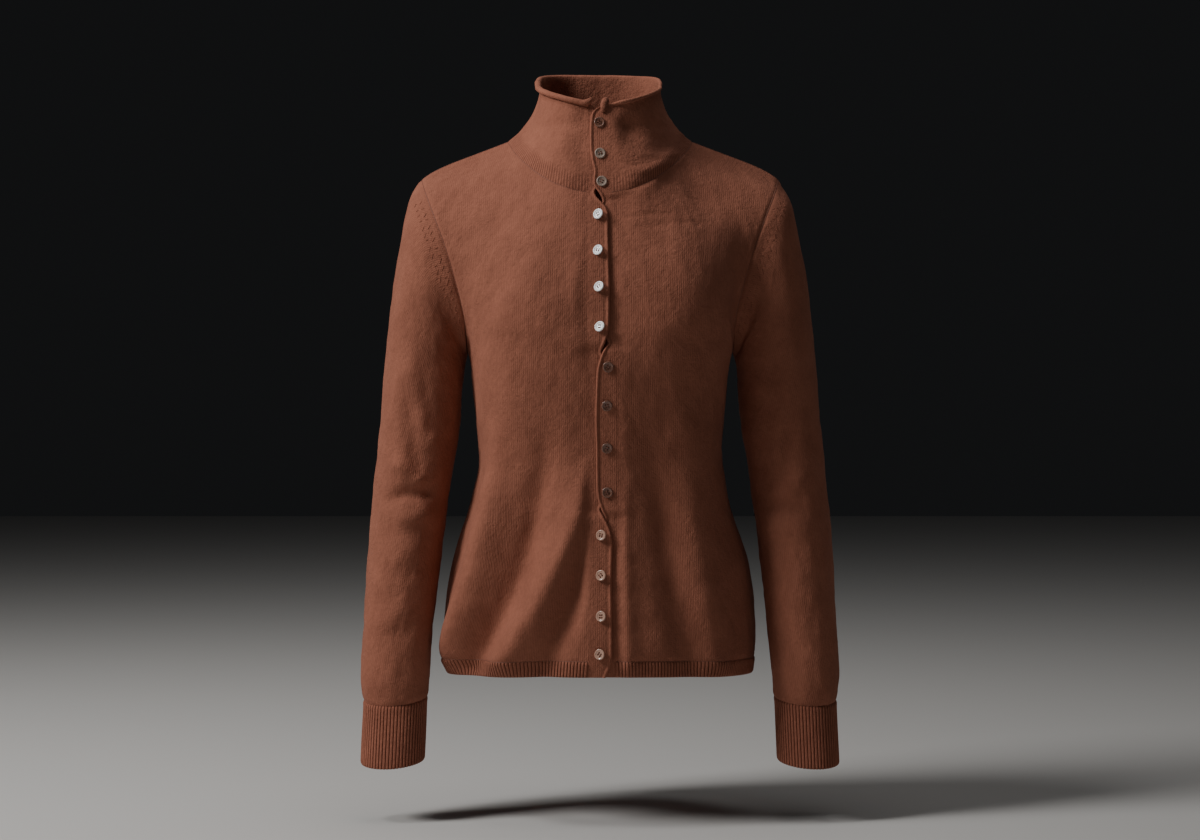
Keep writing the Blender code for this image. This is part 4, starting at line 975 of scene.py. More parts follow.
def fold_height(folds, face, x, z):
    """Sum of the folds on one face at places of the front view."""
    total = np.zeros_like(x)
    for number in np.nonzero(folds["face"] == face)[0]:
        fold = {name: column[number] for name, column in folds.items()}
        run = np.array([fold["x1"] - fold["x0"], fold["z1"] - fold["z0"]])
        length = np.hypot(*run)
        run = run / length
        way = ((x - fold["x0"]) * run[0] + (z - fold["z0"]) * run[1]) / length
        inside = np.clip(way, 0.0, 1.0)
        bowed = 4.0 * fold["bow"] * inside * (1.0 - inside)
        across = (x - fold["x0"]) * run[1] - (z - fold["z0"]) * run[0] - bowed
        width = fold["width0"] + (fold["width1"] - fold["width0"]) * inside
        width = width * (1.0 + fold["skew"] * np.sign(across))
        beyond = np.maximum(np.maximum(-way, way - 1.0), 0.0) * length
        depth = fold["height"] * smooth_step(way / FOLD_RISE + FOLD_START)
        total += depth * np.exp(-(across ** 2 + beyond ** 2) / width ** 2)
    return total


def unevenness(u, v, width, length, seed, girth=None):
    """A smooth random surface with humps of about the given width and length.

    On a tube, girth is the length round it at each point, so that the surface closes.
    """
    rows = HUMP_ROWS
    columns = HUMP_ROWS if girth is None else max(int(round(girth.mean() / width)), 4)
    lattice = np.random.RandomState(seed).uniform(-2.0, 2.0, (rows, columns))
    a = (u / width if girth is None else u / girth * columns) + HUMP_LEAN * v / length
    b = v / length
    left = np.floor(a).astype(int)
    low = np.floor(b).astype(int)
    a = smooth_step(a - left)
    b = smooth_step(b - low)
    lower = (lattice[low % rows, left % columns] * (1 - a)
             + lattice[low % rows, (left + 1) % columns] * a)
    upper = (lattice[(low + 1) % rows, left % columns] * (1 - a)
             + lattice[(low + 1) % rows, (left + 1) % columns] * a)
    return lower * (1 - b) + upper * b


def seam_dip(distance, depth=0.0007):
    """How the cloth dips into a seam and swells beside it."""
    return (-depth * hump(distance, DIP_WIDTH)
            + SWELL_SHARE * depth * hump(distance - SWELL_BESIDE, SWELL_WIDTH))


def cloth_relief(u, v, edges, relief, seed, girth=None):
    """Small unevenness of worn knit, which dies out towards the seams."""
    total = 0.0
    for number, (width, length, part) in enumerate(RELIEF_LAYERS):
        total = total + part * unevenness(u, v, width, length, seed + number, girth)
    return smooth_step(edges / RELIEF_CALM) * relief * total


def knit_chart(grid, normal, start):
    """Places on the knit, in metres: wales run straight up the body, courses across."""
    wale = np.cross(normal, (1.0, 0.0, 0.0))
    wale /= np.maximum(np.linalg.norm(wale, axis=2, keepdims=True), 1e-9)
    across = np.cross(wale, normal)
    steps = np.sum(np.diff(grid, axis=1) * (across[:, 1:] + across[:, :-1]) / 2, axis=2)
    u = start + np.insert(np.cumsum(steps, axis=1), 0, 0.0, axis=1)
    steps = np.sum(np.diff(grid, axis=0) * (wale[1:] + wale[:-1]) / 2, axis=2)
    v = np.insert(np.cumsum(steps, axis=0), 0, 0.0, axis=0)
    return stacked(u, v)


def new_mesh(name, body):
    """Turns a finished bmesh into a smoothly shaded mesh."""
    mesh = bpy.data.meshes.new(name)
    body.to_mesh(mesh)
    body.free()
    mesh.shade_smooth()
    return mesh


def new_piece(name, mesh, material):
    """Puts a mesh into the scene as a piece of that material."""
    mesh.materials.append(material)
    piece = bpy.data.objects.new(name, mesh)
    bpy.context.scene.collection.objects.link(piece)
    return piece


def cloth_piece(name, grid, uv, wall, material, flip, closed=False, centred=False):
    """A knit piece from its outer points, its pattern's map and its thickness.

    A closed piece is a tube. A centred wall lies half on either side of the points.
    """
    rows = len(grid) - 1
    columns = len(grid[0]) - 1
    sheet = bmesh.new()
    bmesh.ops.create_grid(sheet, x_segments=columns, y_segments=rows, size=1.0)
    mesh = new_mesh(name, sheet)
    place = np.empty(len(mesh.vertices) * 3)
    mesh.vertices.foreach_get("co", place)
    place = place.reshape(-1, 3)
    across = np.rint((place[:, 0] + 1) / 2 * columns).astype(int)
    along = np.rint((place[:, 1] + 1) / 2 * rows).astype(int)
    mesh.vertices.foreach_set("co", grid[along, across].ravel())
    corner = np.empty(len(mesh.loops), dtype=np.int32)
    mesh.loops.foreach_get("vertex_index", corner)
    layer = mesh.uv_layers.new(name="knit")
    layer.data.foreach_set("uv", uv[along, across][corner].ravel())
    if flip:
        mesh.flip_normals()
    if closed:
        tube = bmesh.new()
        tube.from_mesh(mesh)
        bmesh.ops.remove_doubles(tube, verts=tube.verts, dist=MERGE_DISTANCE)
        tube.to_mesh(mesh)
        tube.free()
    piece = new_piece(name, mesh, material)
    shell = piece.modifiers.new("wall", "SOLIDIFY")
    shell.thickness = wall
    shell.offset = 0.0 if centred else -1.0
    graph = bpy.context.evaluated_depsgraph_get()
    walled = bpy.data.meshes.new_from_object(piece.evaluated_get(graph))
    walled.set_sharp_from_angle(angle=RIM_ANGLE)
    piece.modifiers.clear()
    piece.data = walled
    bpy.data.meshes.remove(mesh)
    walled.name = name
    return piece


def belong(piece, node):
    """Hides the solid that a piece stands for and hangs the piece under the root."""
    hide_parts(node)
    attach(piece, "root")


def ride_along(piece):
    """Says that a small trim moves with the cloth, by hanging it under the root."""
    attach(piece, "root")


# ---------------------------------------------------------------- materials

STITCH_SLANT = 1.1            # how much higher a leg of a V ends than it starts
STITCH_LIFT = {1: 0.8, 2: 0.6}      # height of a stitch's middle and of its foot
PEBBLE_STRETCH = (1.0, 1.0, 0.9)
PEBBLES = {"Scale": 250.0, "Detail": 4.0, "Roughness": 0.62}
FLECKS = {"Scale": 640.0, "Detail": 3.0, "Roughness": 0.7}
CLOUDS = {"Scale": 34.0, "Detail": 4.0, "Roughness": 0.6}
PEBBLE_HEIGHT = 2.5           # against the flecks
LOOP_HEIGHT = 0.34            # of the stitches, against both
LOOP_HEIGHT_COLLAR = 0.12
GRAIN = {"Strength": 0.60, "Distance": 0.0008}
FOOT_FADE = 0.6               # share of the ribbed foot where it is at its strongest
FOOT_GROOVE_SHADES = 14.0           # how much darker the painted shade in the grooves is there
FOOT_LIGHT = 0.25             # and how much painted light lightens the yarn between them
RIB_GROOVE_SHADE = {1: 0.19, 2: 0.04, 3: 0.0, 4: 0.95}     # painted shade in the rib's grooves, from the ridge's foot in
CLOUD_SHADE = 0.60
PEBBLE_SHADE = 0.45
DEEP_YARN = {1: 0.40, 2: 1.16, 3: 0.0, 4: 0.85}      # share of the deeper yarn colour, for the mottle and the painted shade
WOOL = {"Roughness": 0.90, "Specular IOR Level": 0.20, "Sheen Weight": 0.14,
        "Sheen Roughness": 0.50}
COLLAR_COARSENESS = 1.5
COLLAR_FOOT = 0.022           # height of the collar's ribbed foot
# Strength of the painted shade between the stitches, for each knit.
GROOVE_SHADES = {"jersey": 0.18, "collar": 0.055, "rib": 0.20}
TWIST = {"Scale": 1400.0, "Detail": 2.0}
SHELL_CLOUDS = {"Scale": 420.0, "Detail": 3.0, "Distortion": 1.2}
SHELL_PALER = 1.35
SHELL_GLOSS = {1: 0.3, 2: 0.7, 3: 0.22, 4: 0.36}
SHELL = {"IOR": 1.54, "Coat Weight": 0.35, "Coat Roughness": 0.12,
         "Subsurface Weight": 0.12, "Subsurface Radius": (0.0012, 0.0009, 0.0007)}


def fill_inputs(tree, node, inputs):
    """Fills a node's inputs, each with a plain value or with a socket to link."""
    for place, value in dict(inputs).items():
        if isinstance(value, bpy.types.NodeSocket):
            tree.links.new(value, node.inputs[place])
        else:
            node.inputs[place].default_value = value


def add_node(tree, kind, inputs=(), **settings):
    """Adds a node with its settings and inputs."""
    node = tree.nodes.new(kind)
    for name, value in settings.items():
        setattr(node, name, value)
    fill_inputs(tree, node, inputs)
    return node


def new_material(name):
    """A material by that name, and its tree and shader."""
    material = bpy.data.materials.new(name)
    material.use_nodes = True
    tree = material.node_tree
    return material, tree, tree.nodes["Principled BSDF"]


def knit_material(name, wale, course, groove, rib_pitch=0.0, ribbed_foot=0.0):
    """Wool knit: matt yarn in rows of V stitches, with a halo of short hairs.

    The hairs give a soft light edge, and the stitches break the light into a fine
    grain; the colour is a little uneven, as melange yarn is. The yarn between the
    stitches and in the ribs' grooves gets painted shade, and the collar's ribbed foot
    gets painted shade in its grooves and painted light between them.
    """
    knit = bpy.context.scene.cardigan_knit
    material, tree, shader = new_material(name)
    chart = add_node(tree, "ShaderNodeUVMap", uv_map="knit").outputs[0]
    here = add_node(tree, "ShaderNodeTexCoord").outputs["Object"]
    stitches = add_node(tree, "ShaderNodeMapping",
                        {"Vector": chart, "Scale": (1 / wale, 1 / course, 1.0)})
    parts = add_node(tree, "ShaderNodeSeparateXYZ", {0: stitches.outputs[0]}).outputs
    leg = add_node(tree, "ShaderNodeMath", {0: parts[0], 1: 0.5}, operation="PINGPONG")
    column = add_node(tree, "ShaderNodeMapRange", {0: leg.outputs[0], 2: 0.5},
                      interpolation_type="SMOOTHSTEP").outputs[0]
    slant = add_node(tree, "ShaderNodeMath",
                     {0: leg.outputs[0], 1: STITCH_SLANT, 2: parts[1]},
                     operation="MULTIPLY_ADD")
    row = add_node(tree, "ShaderNodeMath", {0: slant.outputs[0], 1: 0.5},
                   operation="PINGPONG")
    loop = add_node(tree, "ShaderNodeMath", {0: row.outputs[0], **STITCH_LIFT},
                    operation="MULTIPLY_ADD")
    loops = add_node(tree, "ShaderNodeMath", {0: loop.outputs[0], 1: column},
                     operation="MULTIPLY").outputs[0]
    stretched = add_node(tree, "ShaderNodeMapping",
                         {"Vector": here, "Scale": PEBBLE_STRETCH}).outputs[0]
    pebble, fleck, cloud = (
        add_node(tree, "ShaderNodeTexNoise", {"Vector": place, **noise}).outputs[0]
        for place, noise in ((stretched, PEBBLES), (here, FLECKS), (here, CLOUDS)))
    rough = add_node(tree, "ShaderNodeMath", {0: pebble, 1: PEBBLE_HEIGHT, 2: fleck},
                     operation="MULTIPLY_ADD")
    loops_show = LOOP_HEIGHT_COLLAR if ribbed_foot else LOOP_HEIGHT
    height = add_node(tree, "ShaderNodeMath",
                      {0: loops, 1: loops_show, 2: rough.outputs[0]},
                      operation="MULTIPLY_ADD")
    bump = add_node(tree, "ShaderNodeBump", {"Height": height.outputs[0], **GRAIN})
    # Painted shade: the yarn between the loops is darker, by the groove's strength.
    depth = add_node(tree, "ShaderNodeMath", {0: 1.0, 1: loops}, operation="SUBTRACT")
    dark = add_node(tree, "ShaderNodeMath", {0: depth.outputs[0], 1: groove},
                    operation="MULTIPLY").outputs[0]
    metres = add_node(tree, "ShaderNodeSeparateXYZ", {0: chart}).outputs
    # On the collar's ribbed foot the painted shade in the grooves is much darker, and
    # painted light lightens the yarn between them.
    if ribbed_foot:
        foot = add_node(tree, "ShaderNodeMapRange",
                        {0: metres[1], 1: ribbed_foot, 2: ribbed_foot * FOOT_FADE,
                         4: 1.0})
        lift = add_node(tree, "ShaderNodeMath",
                        {0: foot.outputs[0], 1: FOOT_GROOVE_SHADES, 2: 1.0},
                        operation="MULTIPLY_ADD")
        strong = add_node(tree, "ShaderNodeMath", {0: dark, 1: lift.outputs[0]},
                          operation="MULTIPLY")
        dark = add_node(tree, "ShaderNodeMath",
                        {0: foot.outputs[0], 1: -FOOT_LIGHT, 2: strong.outputs[0]},
                        operation="MULTIPLY_ADD").outputs[0]
    # Painted shade in the grooves of a rib, where the light would show little.
    if rib_pitch:
        turns = add_node(tree, "ShaderNodeMath", {0: metres[0], 1: rib_pitch},
                         operation="DIVIDE")
        side = add_node(tree, "ShaderNodeMath", {0: turns.outputs[0], 1: 0.5},
                        operation="PINGPONG")
        shade = add_node(tree, "ShaderNodeMapRange", {0: side.outputs[0], **RIB_GROOVE_SHADE})
        dark = add_node(tree, "ShaderNodeMath", {0: dark, 1: shade.outputs[0]},
                        operation="ADD").outputs[0]
    # The cloudy mottle, the painted shade and the pebbly tone pick the share of the
    # deeper colour.
    clouds_and_groove_shade = add_node(tree, "ShaderNodeMath", {0: cloud, 1: CLOUD_SHADE, 2: dark},
                      operation="MULTIPLY_ADD")
    tone = add_node(tree, "ShaderNodeMath",
                    {0: pebble, 1: PEBBLE_SHADE, 2: clouds_and_groove_shade.outputs[0]},
                    operation="MULTIPLY_ADD")
    share_deep = add_node(tree, "ShaderNodeMapRange", {0: tone.outputs[0], **DEEP_YARN})
    mixed = add_node(tree, "ShaderNodeMix",
                     {0: share_deep.outputs[0], 6: (*knit.yarn, 1.0),
                      7: (*knit.shade_and_melange_yarn, 1.0)}, data_type="RGBA")
    fill_inputs(tree, shader, {"Base Color": mixed.outputs[2],
                               "Normal": bump.outputs[0],
                               "Sheen Tint": (*knit.fuzz, 1.0), **WOOL})
    return material


def thread_material():
    """Sewing thread: twisted, slightly shiny polyester in the yarn's colour."""
    scene = bpy.context.scene
    material, tree, shader = new_material("polyester sewing thread")
    here = add_node(tree, "ShaderNodeTexCoord").outputs["Object"]
    twist = add_node(tree, "ShaderNodeTexNoise", {"Vector": here, **TWIST})
    mixed = add_node(tree, "ShaderNodeMix",
                     {0: twist.outputs[0], 6: (*scene.cardigan_buttons.thread, 1.0),
                      7: (*scene.cardigan_knit.yarn, 1.0)}, data_type="RGBA")
    fill_inputs(tree, shader, {"Base Color": mixed.outputs[2], "Roughness": 0.6})
    return material


def shell_material(name, shell):
    """Moulded polyester button: cloudy like shell, glossy on the rim."""
    material, tree, shader = new_material(name)
    here = add_node(tree, "ShaderNodeTexCoord").outputs["Object"]
    cloud = add_node(tree, "ShaderNodeTexNoise", {"Vector": here, **SHELL_CLOUDS})
    # The shell colour given is the plain one, or a copy of it with painted highlight or
    # painted shade.
    pale = tuple(min(part * SHELL_PALER, 1.0) for part in shell)
    mixed = add_node(tree, "ShaderNodeMix",
                     {0: cloud.outputs[0], 6: (*shell, 1.0), 7: (*pale, 1.0)},
                     data_type="RGBA")
    gloss = add_node(tree, "ShaderNodeMapRange", {0: cloud.outputs[0], **SHELL_GLOSS})
    fill_inputs(tree, shader, {"Base Color": mixed.outputs[2],
                               "Roughness": gloss.outputs[0], **SHELL})
    return material


def cardigan_materials():
    """The materials of the cardigan, made once and used by every piece."""
    knit = bpy.context.scene.cardigan_knit
    buttons = bpy.context.scene.cardigan_buttons
    if bpy.data.materials.get("wool jersey knit") is None:
        # Wales are drawn half as wide again as in 12 gauge knit, so that they show.
        knit_material("wool jersey knit", knit.wale, knit.course, GROOVE_SHADES["jersey"])
        # The collar's fine ribs are drawn another half coarser, for the same reason.
        knit_material("wool collar knit", knit.wale * COLLAR_COARSENESS, knit.course,
                      GROOVE_SHADES["collar"], ribbed_foot=COLLAR_FOOT)
        knit_material("wool rib knit", RIB_UNIT / 2, knit.course, GROOVE_SHADES["rib"],
                      rib_pitch=RIB_UNIT)
        thread_material()
        # The plain shell colour, and copies of it with painted shade, painted half
        # highlight and painted highlight.
        shell_material("moulded polyester shell button", buttons.shell)
        shell_material("smoked polyester shell button", buttons.painted_shade_shell_colour)
        shell_material("warm polyester shell button", buttons.painted_half_highlight_shell_colour)
        shell_material("polished polyester shell button", buttons.painted_highlight_shell_colour)
    return bpy.data.materials


# ---------------------------------------------------------------- body pieces

def body_displacement(grid, outward, face, folds_scale):
    """Directions and heights of the folds and swells of one side of the body.

    Near the hem rib the folds move the cloth only level, and beside the placket they
    die out.
    """
    normal = facings(grid, outward)
    facing = face_share(normal, face)
    x = grid[:, :, 0]
    z = grid[:, :, 2]
    folds = fold_height(BODY_FOLDS, face, x, z)
    above = (lengths_along(grid) / LEVEL_NEAR_HEM)[:, :, None]
    level = normal * (1.0, 1.0, 0.0)
    level /= np.linalg.norm(level, axis=2, keepdims=True)
    normal = level + (normal - level) * smooth_step(above)
    if face < 0:
        across = lengths_across(grid)
        inside = smooth_step((across[:, -1:] - across) / SWELL_FADE)
        for cx, cz, width, tall, height in zip(*FRONT_SWELLS.values()):
            swell = height * np.exp(-((x - cx) / width) ** 2 - ((z - cz) / tall) ** 2)
            folds += swell * inside
        folds = folds * smooth_step(across / CALM_BY_PLACKET)
    return normal, folds * facing * folds_scale


class CARDIGAN_OT_fronts(bpy.types.Operator):
    """Builds the right and left front"""
    bl_idname = "cardigan.fronts"
    bl_label = "Fronts"

    def execute(self, context):
        knit = context.scene.cardigan_knit
        materials = cardigan_materials()
        for side, hand in HANDS:
            name = "front_" + hand
            grid, arm_row, neck_column = front_grid(side, knit.cell)
            normal, folds = body_displacement(grid, side, -1, knit.folds)
            u = lengths_across(grid)
            v = lengths_along(grid)
            from_side = u[:, -1:] - u
            from_top = v[-1:] - v
            edges = edge_distance(u, from_side, v, from_top)
            height = folds + cloth_relief(u, v, edges, knit.relief, 11 + side)
            height += seam_dip(from_side) + seam_dip(v, DIPS["front_hem"])
            height += seam_dip(from_top, DIPS["front_top"])
            grid = grid + normal * height[:, :, None]
            uv = knit_chart(grid, normal, seam_x(side, grid[:, :1, 2]))
            SEAMS["armhole_front_" + hand] = grid[arm_row:, -1]
            SEAMS["side_" + hand] = grid[:arm_row + 1, -1]
            SEAMS["neck_" + name] = grid[-1, :neck_column + 1]
            SEAMS["shoulder_" + hand] = grid[-1, neck_column:]
            piece = cloth_piece(name + "_knit", grid, uv, knit.wall,
                                materials["wool jersey knit"], flip=side < 0)
            belong(piece, name)
        return {"FINISHED"}


class CARDIGAN_OT_back(bpy.types.Operator):
    """Builds the back in one piece"""
    bl_idname = "cardigan.back"
    bl_label = "Back"

    def execute(self, context):
        knit = context.scene.cardigan_knit
        materials = cardigan_materials()
        right, arm_row, shoulder_columns = back_half_grid(-1, knit.cell)
        left = back_half_grid(1, knit.cell)[0]
        grid = np.concatenate([right[:, :0:-1], left], axis=1)
        normal, folds = body_displacement(grid, -1, 1, knit.folds)
        u = lengths_across(grid)
        v = lengths_along(grid)
        from_end = u[:, -1:] - u
        from_top = v[-1:] - v
        edges = edge_distance(u, from_end, v, from_top)
        height = folds + cloth_relief(u, v, edges, knit.relief, 21)
        height += seam_dip(u) + seam_dip(from_end) + seam_dip(v, DIPS["back_hem"])
        height += seam_dip(from_top, DIPS["back_top"])
        grid = grid + normal * height[:, :, None]
        uv = knit_chart(grid, normal, 0.0)
        middle = len(right[0]) - 1
        uv[:, :, 0] -= uv[:, middle:middle + 1, 0]
        SEAMS["armhole_back_right"] = grid[arm_row:, 0]
        SEAMS["armhole_back_left"] = grid[arm_row:, -1]
        SEAMS["neck_back"] = grid[-1, shoulder_columns:-shoulder_columns]
        piece = cloth_piece("back_knit", grid, uv, knit.wall,
                            materials["wool jersey knit"], flip=True)
        belong(piece, "back")
        return {"FINISHED"}


# ---------------------------------------------------------------- sleeves and cuffs

def sleeve_ring(rows, number, side, angles):
    """One section of a sleeve or cuff, from its outer point round the front."""
    row = {name: column[number] for name, column in rows.items()}
    shift = SLEEVE_INNER_SHIFT * side / 2
    outer = np.array([row["outer_x"], row["centre_y"], row["outer_z"]])
    inner = np.array([row["inner_x"] + shift, row["centre_y"], row["inner_z"]])
    centre = (outer + inner) / 2
    half = (outer - inner) / 2
    ring = centre + half * np.cos(angles)[:, None]
    ring[:, 1] -= row["depth"] * np.sin(angles)
    ring[:, 0] *= side
    return ring


def lean(ring, angle):
    """Tips a ring forward about its own centre, as the forearm leans."""
    centre = ring[:-1].mean(axis=0)
    turn = np.array(Matrix.Rotation(angle, 3, "X"))
    return centre + (ring - centre) @ turn.T


def sleeve_grid(side, cell):
    """A sleeve's outer points, from the armhole to the cuff."""
    half = max(int(round(SLEEVE_HALF_GIRTH / cell)), 8)
    angles = np.linspace(0.0, 2 * pi, 2 * half + 1)
    even = np.linspace(0.0, 1.0, half + 1)
    front = seam_line(ARMHOLE_FRONT, even, side)[::-1]
    back = seam_line(ARMHOLE_BACK, even, side)
    rings = [np.vstack([front, back[1:]])]
    last = len(SLEEVE["depth"]) - 1
    for number in range(last + 1):
        tip = CUFF_LEAN * float(smooth_step((number - SLEEVE_LEAN_START)
                                            / (last - SLEEVE_LEAN_START)))
        rings.append(lean(sleeve_ring(SLEEVE, number, side, angles), tip))
    rings = np.array(rings)
    centres = rings[:, :-1].mean(axis=1)
    steps = np.linalg.norm(np.diff(centres, axis=0), axis=1)
    keys = np.concatenate([[0.0], np.cumsum(steps)])
    way = fractions(keys[-1], cell, dense_start=True, dense_end=True) * keys[-1]
    return hermite(keys, rings, way)


class CARDIGAN_OT_sleeves(bpy.types.Operator):
    """Builds the two set-in sleeves"""
    bl_idname = "cardigan.sleeves"
    bl_label = "Sleeves"

    def execute(self, context):
        knit = context.scene.cardigan_knit
        materials = cardigan_materials()
        for side, hand in HANDS:
            name = "sleeve_" + hand
            depth = knit.folds * (LEFT_SLEEVE_CALM if side > 0 else 1.0)
            lower = LEFT_SLEEVE_LOWER if side > 0 else 0.0
            grid = sleeve_grid(side, knit.cell)
            normal = facings(grid, side, closed=True)
            u = lengths_across(grid)
            v = lengths_along(grid)
            x = grid[:, :, 0] * side
            z = grid[:, :, 2] + lower
            height = np.zeros_like(x)
            for face in (-1, 1):
                folds = fold_height(SLEEVE_FOLDS, face, x, z)
                height += folds * face_share(normal, face) * depth
            from_end = v[-1:] - v
            edges = edge_distance(v, from_end)
            height *= smooth_step(edges / SLEEVE_END_CALM)
            mean_v = v.mean(axis=1, keepdims=True)
            height += cloth_relief(u, mean_v, edges, knit.relief, 31 + side, u[:, -1:])
            height += seam_dip(v) + seam_dip(from_end, DIPS["sleeve_end"])
            grid = grid + normal * height[:, :, None]
            grid[:, -1] = grid[:, 0]
            marks = np.searchsorted(mean_v[:, 0], MARK_LINES)
            SEAMS["marks_" + name] = grid[marks]
            uv = stacked(u - u[:, -1:] / 2, v)
            piece = cloth_piece(name + "_knit", grid, uv, knit.wall,
                                materials["wool jersey knit"], flip=side < 0,
                                closed=True)
            belong(piece, name)
        return {"FINISHED"}


def ring_facing(ring):
    """Directions out of a flat ring, in its own plane."""
    points = ring[:-1]
    centre = points.mean(axis=0)
    axis = np.cross(ring[0] - centre, ring[len(points) // 4] - centre)
    axis /= np.linalg.norm(axis)
    along = np.roll(points, -1, axis=0) - np.roll(points, 1, axis=0)
    outward = np.cross(along, axis)
    outward /= np.linalg.norm(outward, axis=1, keepdims=True)
    outward = np.vstack([outward, outward[:1]])
    sign = np.sign(np.sum(outward * (ring - centre), axis=1, keepdims=True))
    return outward * sign


def rib_height(place, v, rise, dip):
    """Height of 1x1 rib: round ridges and narrow grooves from a seam to a free edge.

    place counts the ribs across, and v is the length from the seam.
    """
    part = np.mod(place, 1.0)
    ridge = rise * (1.0 - np.abs(2.0 * part - 1.0) ** RIB_ROUNDNESS) - RIB_SUNK * rise
    height = ridge[None] * smooth_step(v / RIB_START + 0.3) + seam_dip(v, dip)
    return height - RIB_END_DROP * hump(v[-1:] - v, RIB_END_WIDTH)


class CARDIGAN_OT_cuffs(bpy.types.Operator):
    """Builds the two ribbed cuffs"""
    bl_idname = "cardigan.cuffs"
    bl_label = "Cuffs"

    def execute(self, context):
        ribs = context.scene.cardigan_ribs
        materials = cardigan_materials()
        count = ribs.cuff_ribs * RIB_COLUMNS
        place = np.arange(count + 1) / RIB_COLUMNS
        angles = np.linspace(0.0, 2 * pi, count + 1)
        way = fractions(CUFF_HEIGHT, CUFF_CELL, dense_start=True, dense_end=True)
        for side, hand in HANDS:
            ends = [lean(sleeve_ring(CUFF, n, side, angles), CUFF_LEAN) for n in (0, 1)]
            grid = ends[0] + (ends[1] - ends[0]) * way[:, None, None]
            u = lengths_across(grid)
            v = lengths_along(grid)
            swell = unevenness(u, v, *CUFF_HUMPS, 41 + side, u[:, -1:])
            height = rib_height(place, v, ribs.rise, DIPS["cuff"])
            height += CUFF_SWELL * swell * smooth_step(v / CUFF_CALM)
            grid = grid + ring_facing(ends[0])[None] * height[:, :, None]
            grid[:, -1] = grid[:, 0]
            SEAMS["cuff_top_" + hand] = grid[0]
            piece = cloth_piece("cuff_" + hand + "_rib", grid,
                                stacked(place[None] * RIB_UNIT, v), ribs.wall,
                                materials["wool rib knit"], flip=side < 0, closed=True)
            belong(piece, "cuff_" + hand)
        return {"FINISHED"}


class CARDIGAN_OT_hem_ribs(bpy.types.Operator):
    """Builds the ribs along the hem of both fronts and the back"""
    bl_idname = "cardigan.hem_ribs"
    bl_label = "Hem ribs"

    def execute(self, context):
        ribs = context.scene.cardigan_ribs
        way = fractions(HEM_RIB_TOP_Z - HEM_Z, HEM_CELL, dense_start=True,
                        dense_end=True)
        levels = HEM_RIB_TOP_Z + (HEM_Z - HEM_RIB_TOP_Z) * way
        count = int(round(HEM_FRONT_WIDTH / ribs.hem_pitch)) * RIB_COLUMNS
        across = np.linspace(0.0, 1.0, count + 1)
        for side, hand in HANDS:
            grid = np.array([front_section(side, z, across) for z in levels])
            self.strip(context, "hem_rib_front_" + hand, layered(grid, side), -side, -1,
                       "hem_rib_front", "front_" + hand)
        count = int(round(HEM_BACK_HALF_WIDTH / ribs.hem_pitch)) * RIB_COLUMNS
        across = np.linspace(0.0, 1.0, count + 1)
        right = np.array([back_section(-1, z, across) for z in levels])
        left = np.array([back_section(1, z, across) for z in levels])
        grid = np.concatenate([right[:, :0:-1], left], axis=1)
        self.strip(context, "hem_rib_back", grid, 1, 1, "hem_rib_back", "back")
        return {"FINISHED"}

    def strip(self, context, name, grid, outward, face, cut, above):
        """One rib strip along a hem, which follows the folds of the cloth above."""
        ribs = context.scene.cardigan_ribs
        normal, folds = body_displacement(grid, outward, face,
                                          context.scene.cardigan_knit.folds)
        normal[:, :, 2] = 0.0
        normal /= np.linalg.norm(normal, axis=2, keepdims=True)
        v = lengths_along(grid)
        place = np.arange(len(grid[0])) / RIB_COLUMNS
        height = rib_height(place, v, ribs.rise, DIPS["hem_rib"]) + folds
        grid = grid + normal * height[:, :, None]
        SEAMS["hem_top_" + name] = grid[0]
        piece = cloth_piece(name + "_knit", grid, stacked(place[None] * RIB_UNIT, v),
                            ribs.wall, cardigan_materials()["wool rib knit"],
                            flip=outward < 0)
        belong(piece, name)


# ---------------------------------------------------------------- collar

def collar_walls(cell):
    """The collar's outer points, station by station, up to where its roll starts."""
    front_way = fractions(NECK_LENGTH, cell, dense_start=True)
    back_way = fractions(BACK_NECK_LENGTH, cell)
    levels = fractions(COLLAR_HEIGHT, cell, dense_start=True) * COLLAR_WALL_TOP
    top_z = COLLAR_TOP_FRONT["z"][0]
    fade = smooth_step(1.0 - front_way * NECK_LENGTH / LAYER_BLEND)[:, None, None]
    halves = []
    for side, _ in HANDS:
        columns = []
        for rows, tops, way in ((NECK_FRONT, COLLAR_TOP_FRONT, front_way),
                                (NECK_BACK, COLLAR_TOP_BACK, back_way)):
            foot = seam_line(rows, way)[:, None]
            top = stacked(*(read(tops, "way", axis, way) for axis in "xyz"))[:, None]
            turn = read(tops, "way", "turn", way)[:, None]
            closing = 1.0 - (1.0 - levels[None]) ** turn
            part = stacked(closing, closing, levels[None])
            columns.append(foot + (top - foot) * part)
        half = np.concatenate([columns[0], columns[1][1:]]) * (side, 1, 1)
        edge = placket_points(side, NECK_FRONT_Z + (top_z - NECK_FRONT_Z) * levels)
        half[:len(front_way)] += (edge - half[0])[None] * fade
        halves.append(half)
    return np.concatenate([halves[0], halves[1][-2::-1]])


def collar_forms(walls, level, edges, from_end):
    """Height of the collar's crease, of the hollow under its roll and of its ledge."""
    x, y, z = np.moveaxis(walls, 2, 0)
    front = smooth_step(-y / FRONT_DEPTH)
    crease = CREASE_DEPTH * hump(z - CREASE_Z, CREASE_WIDTH)
    hollow = np.exp(-((x - HOLLOW_X) / HOLLOW_WIDTH) ** 2
                    - ((z - HOLLOW_Z) / HOLLOW_TALL) ** 2)
    ledge = hump(level - LEDGE_LEVEL, LEDGE_WIDTH) * (y < 0)
    ledge = (ledge * smooth_step((x - LEDGE_FROM_X) / LEDGE_FADE)
             * smooth_step((LEDGE_TO_X - x) / LEDGE_FADE))
    return (LEDGE_RISE * ledge
            - crease * front * smooth_step(edges / CREASE_FADE)
            - HOLLOW_DEPTH * hollow * front * smooth_step(from_end / HOLLOW_FADE))


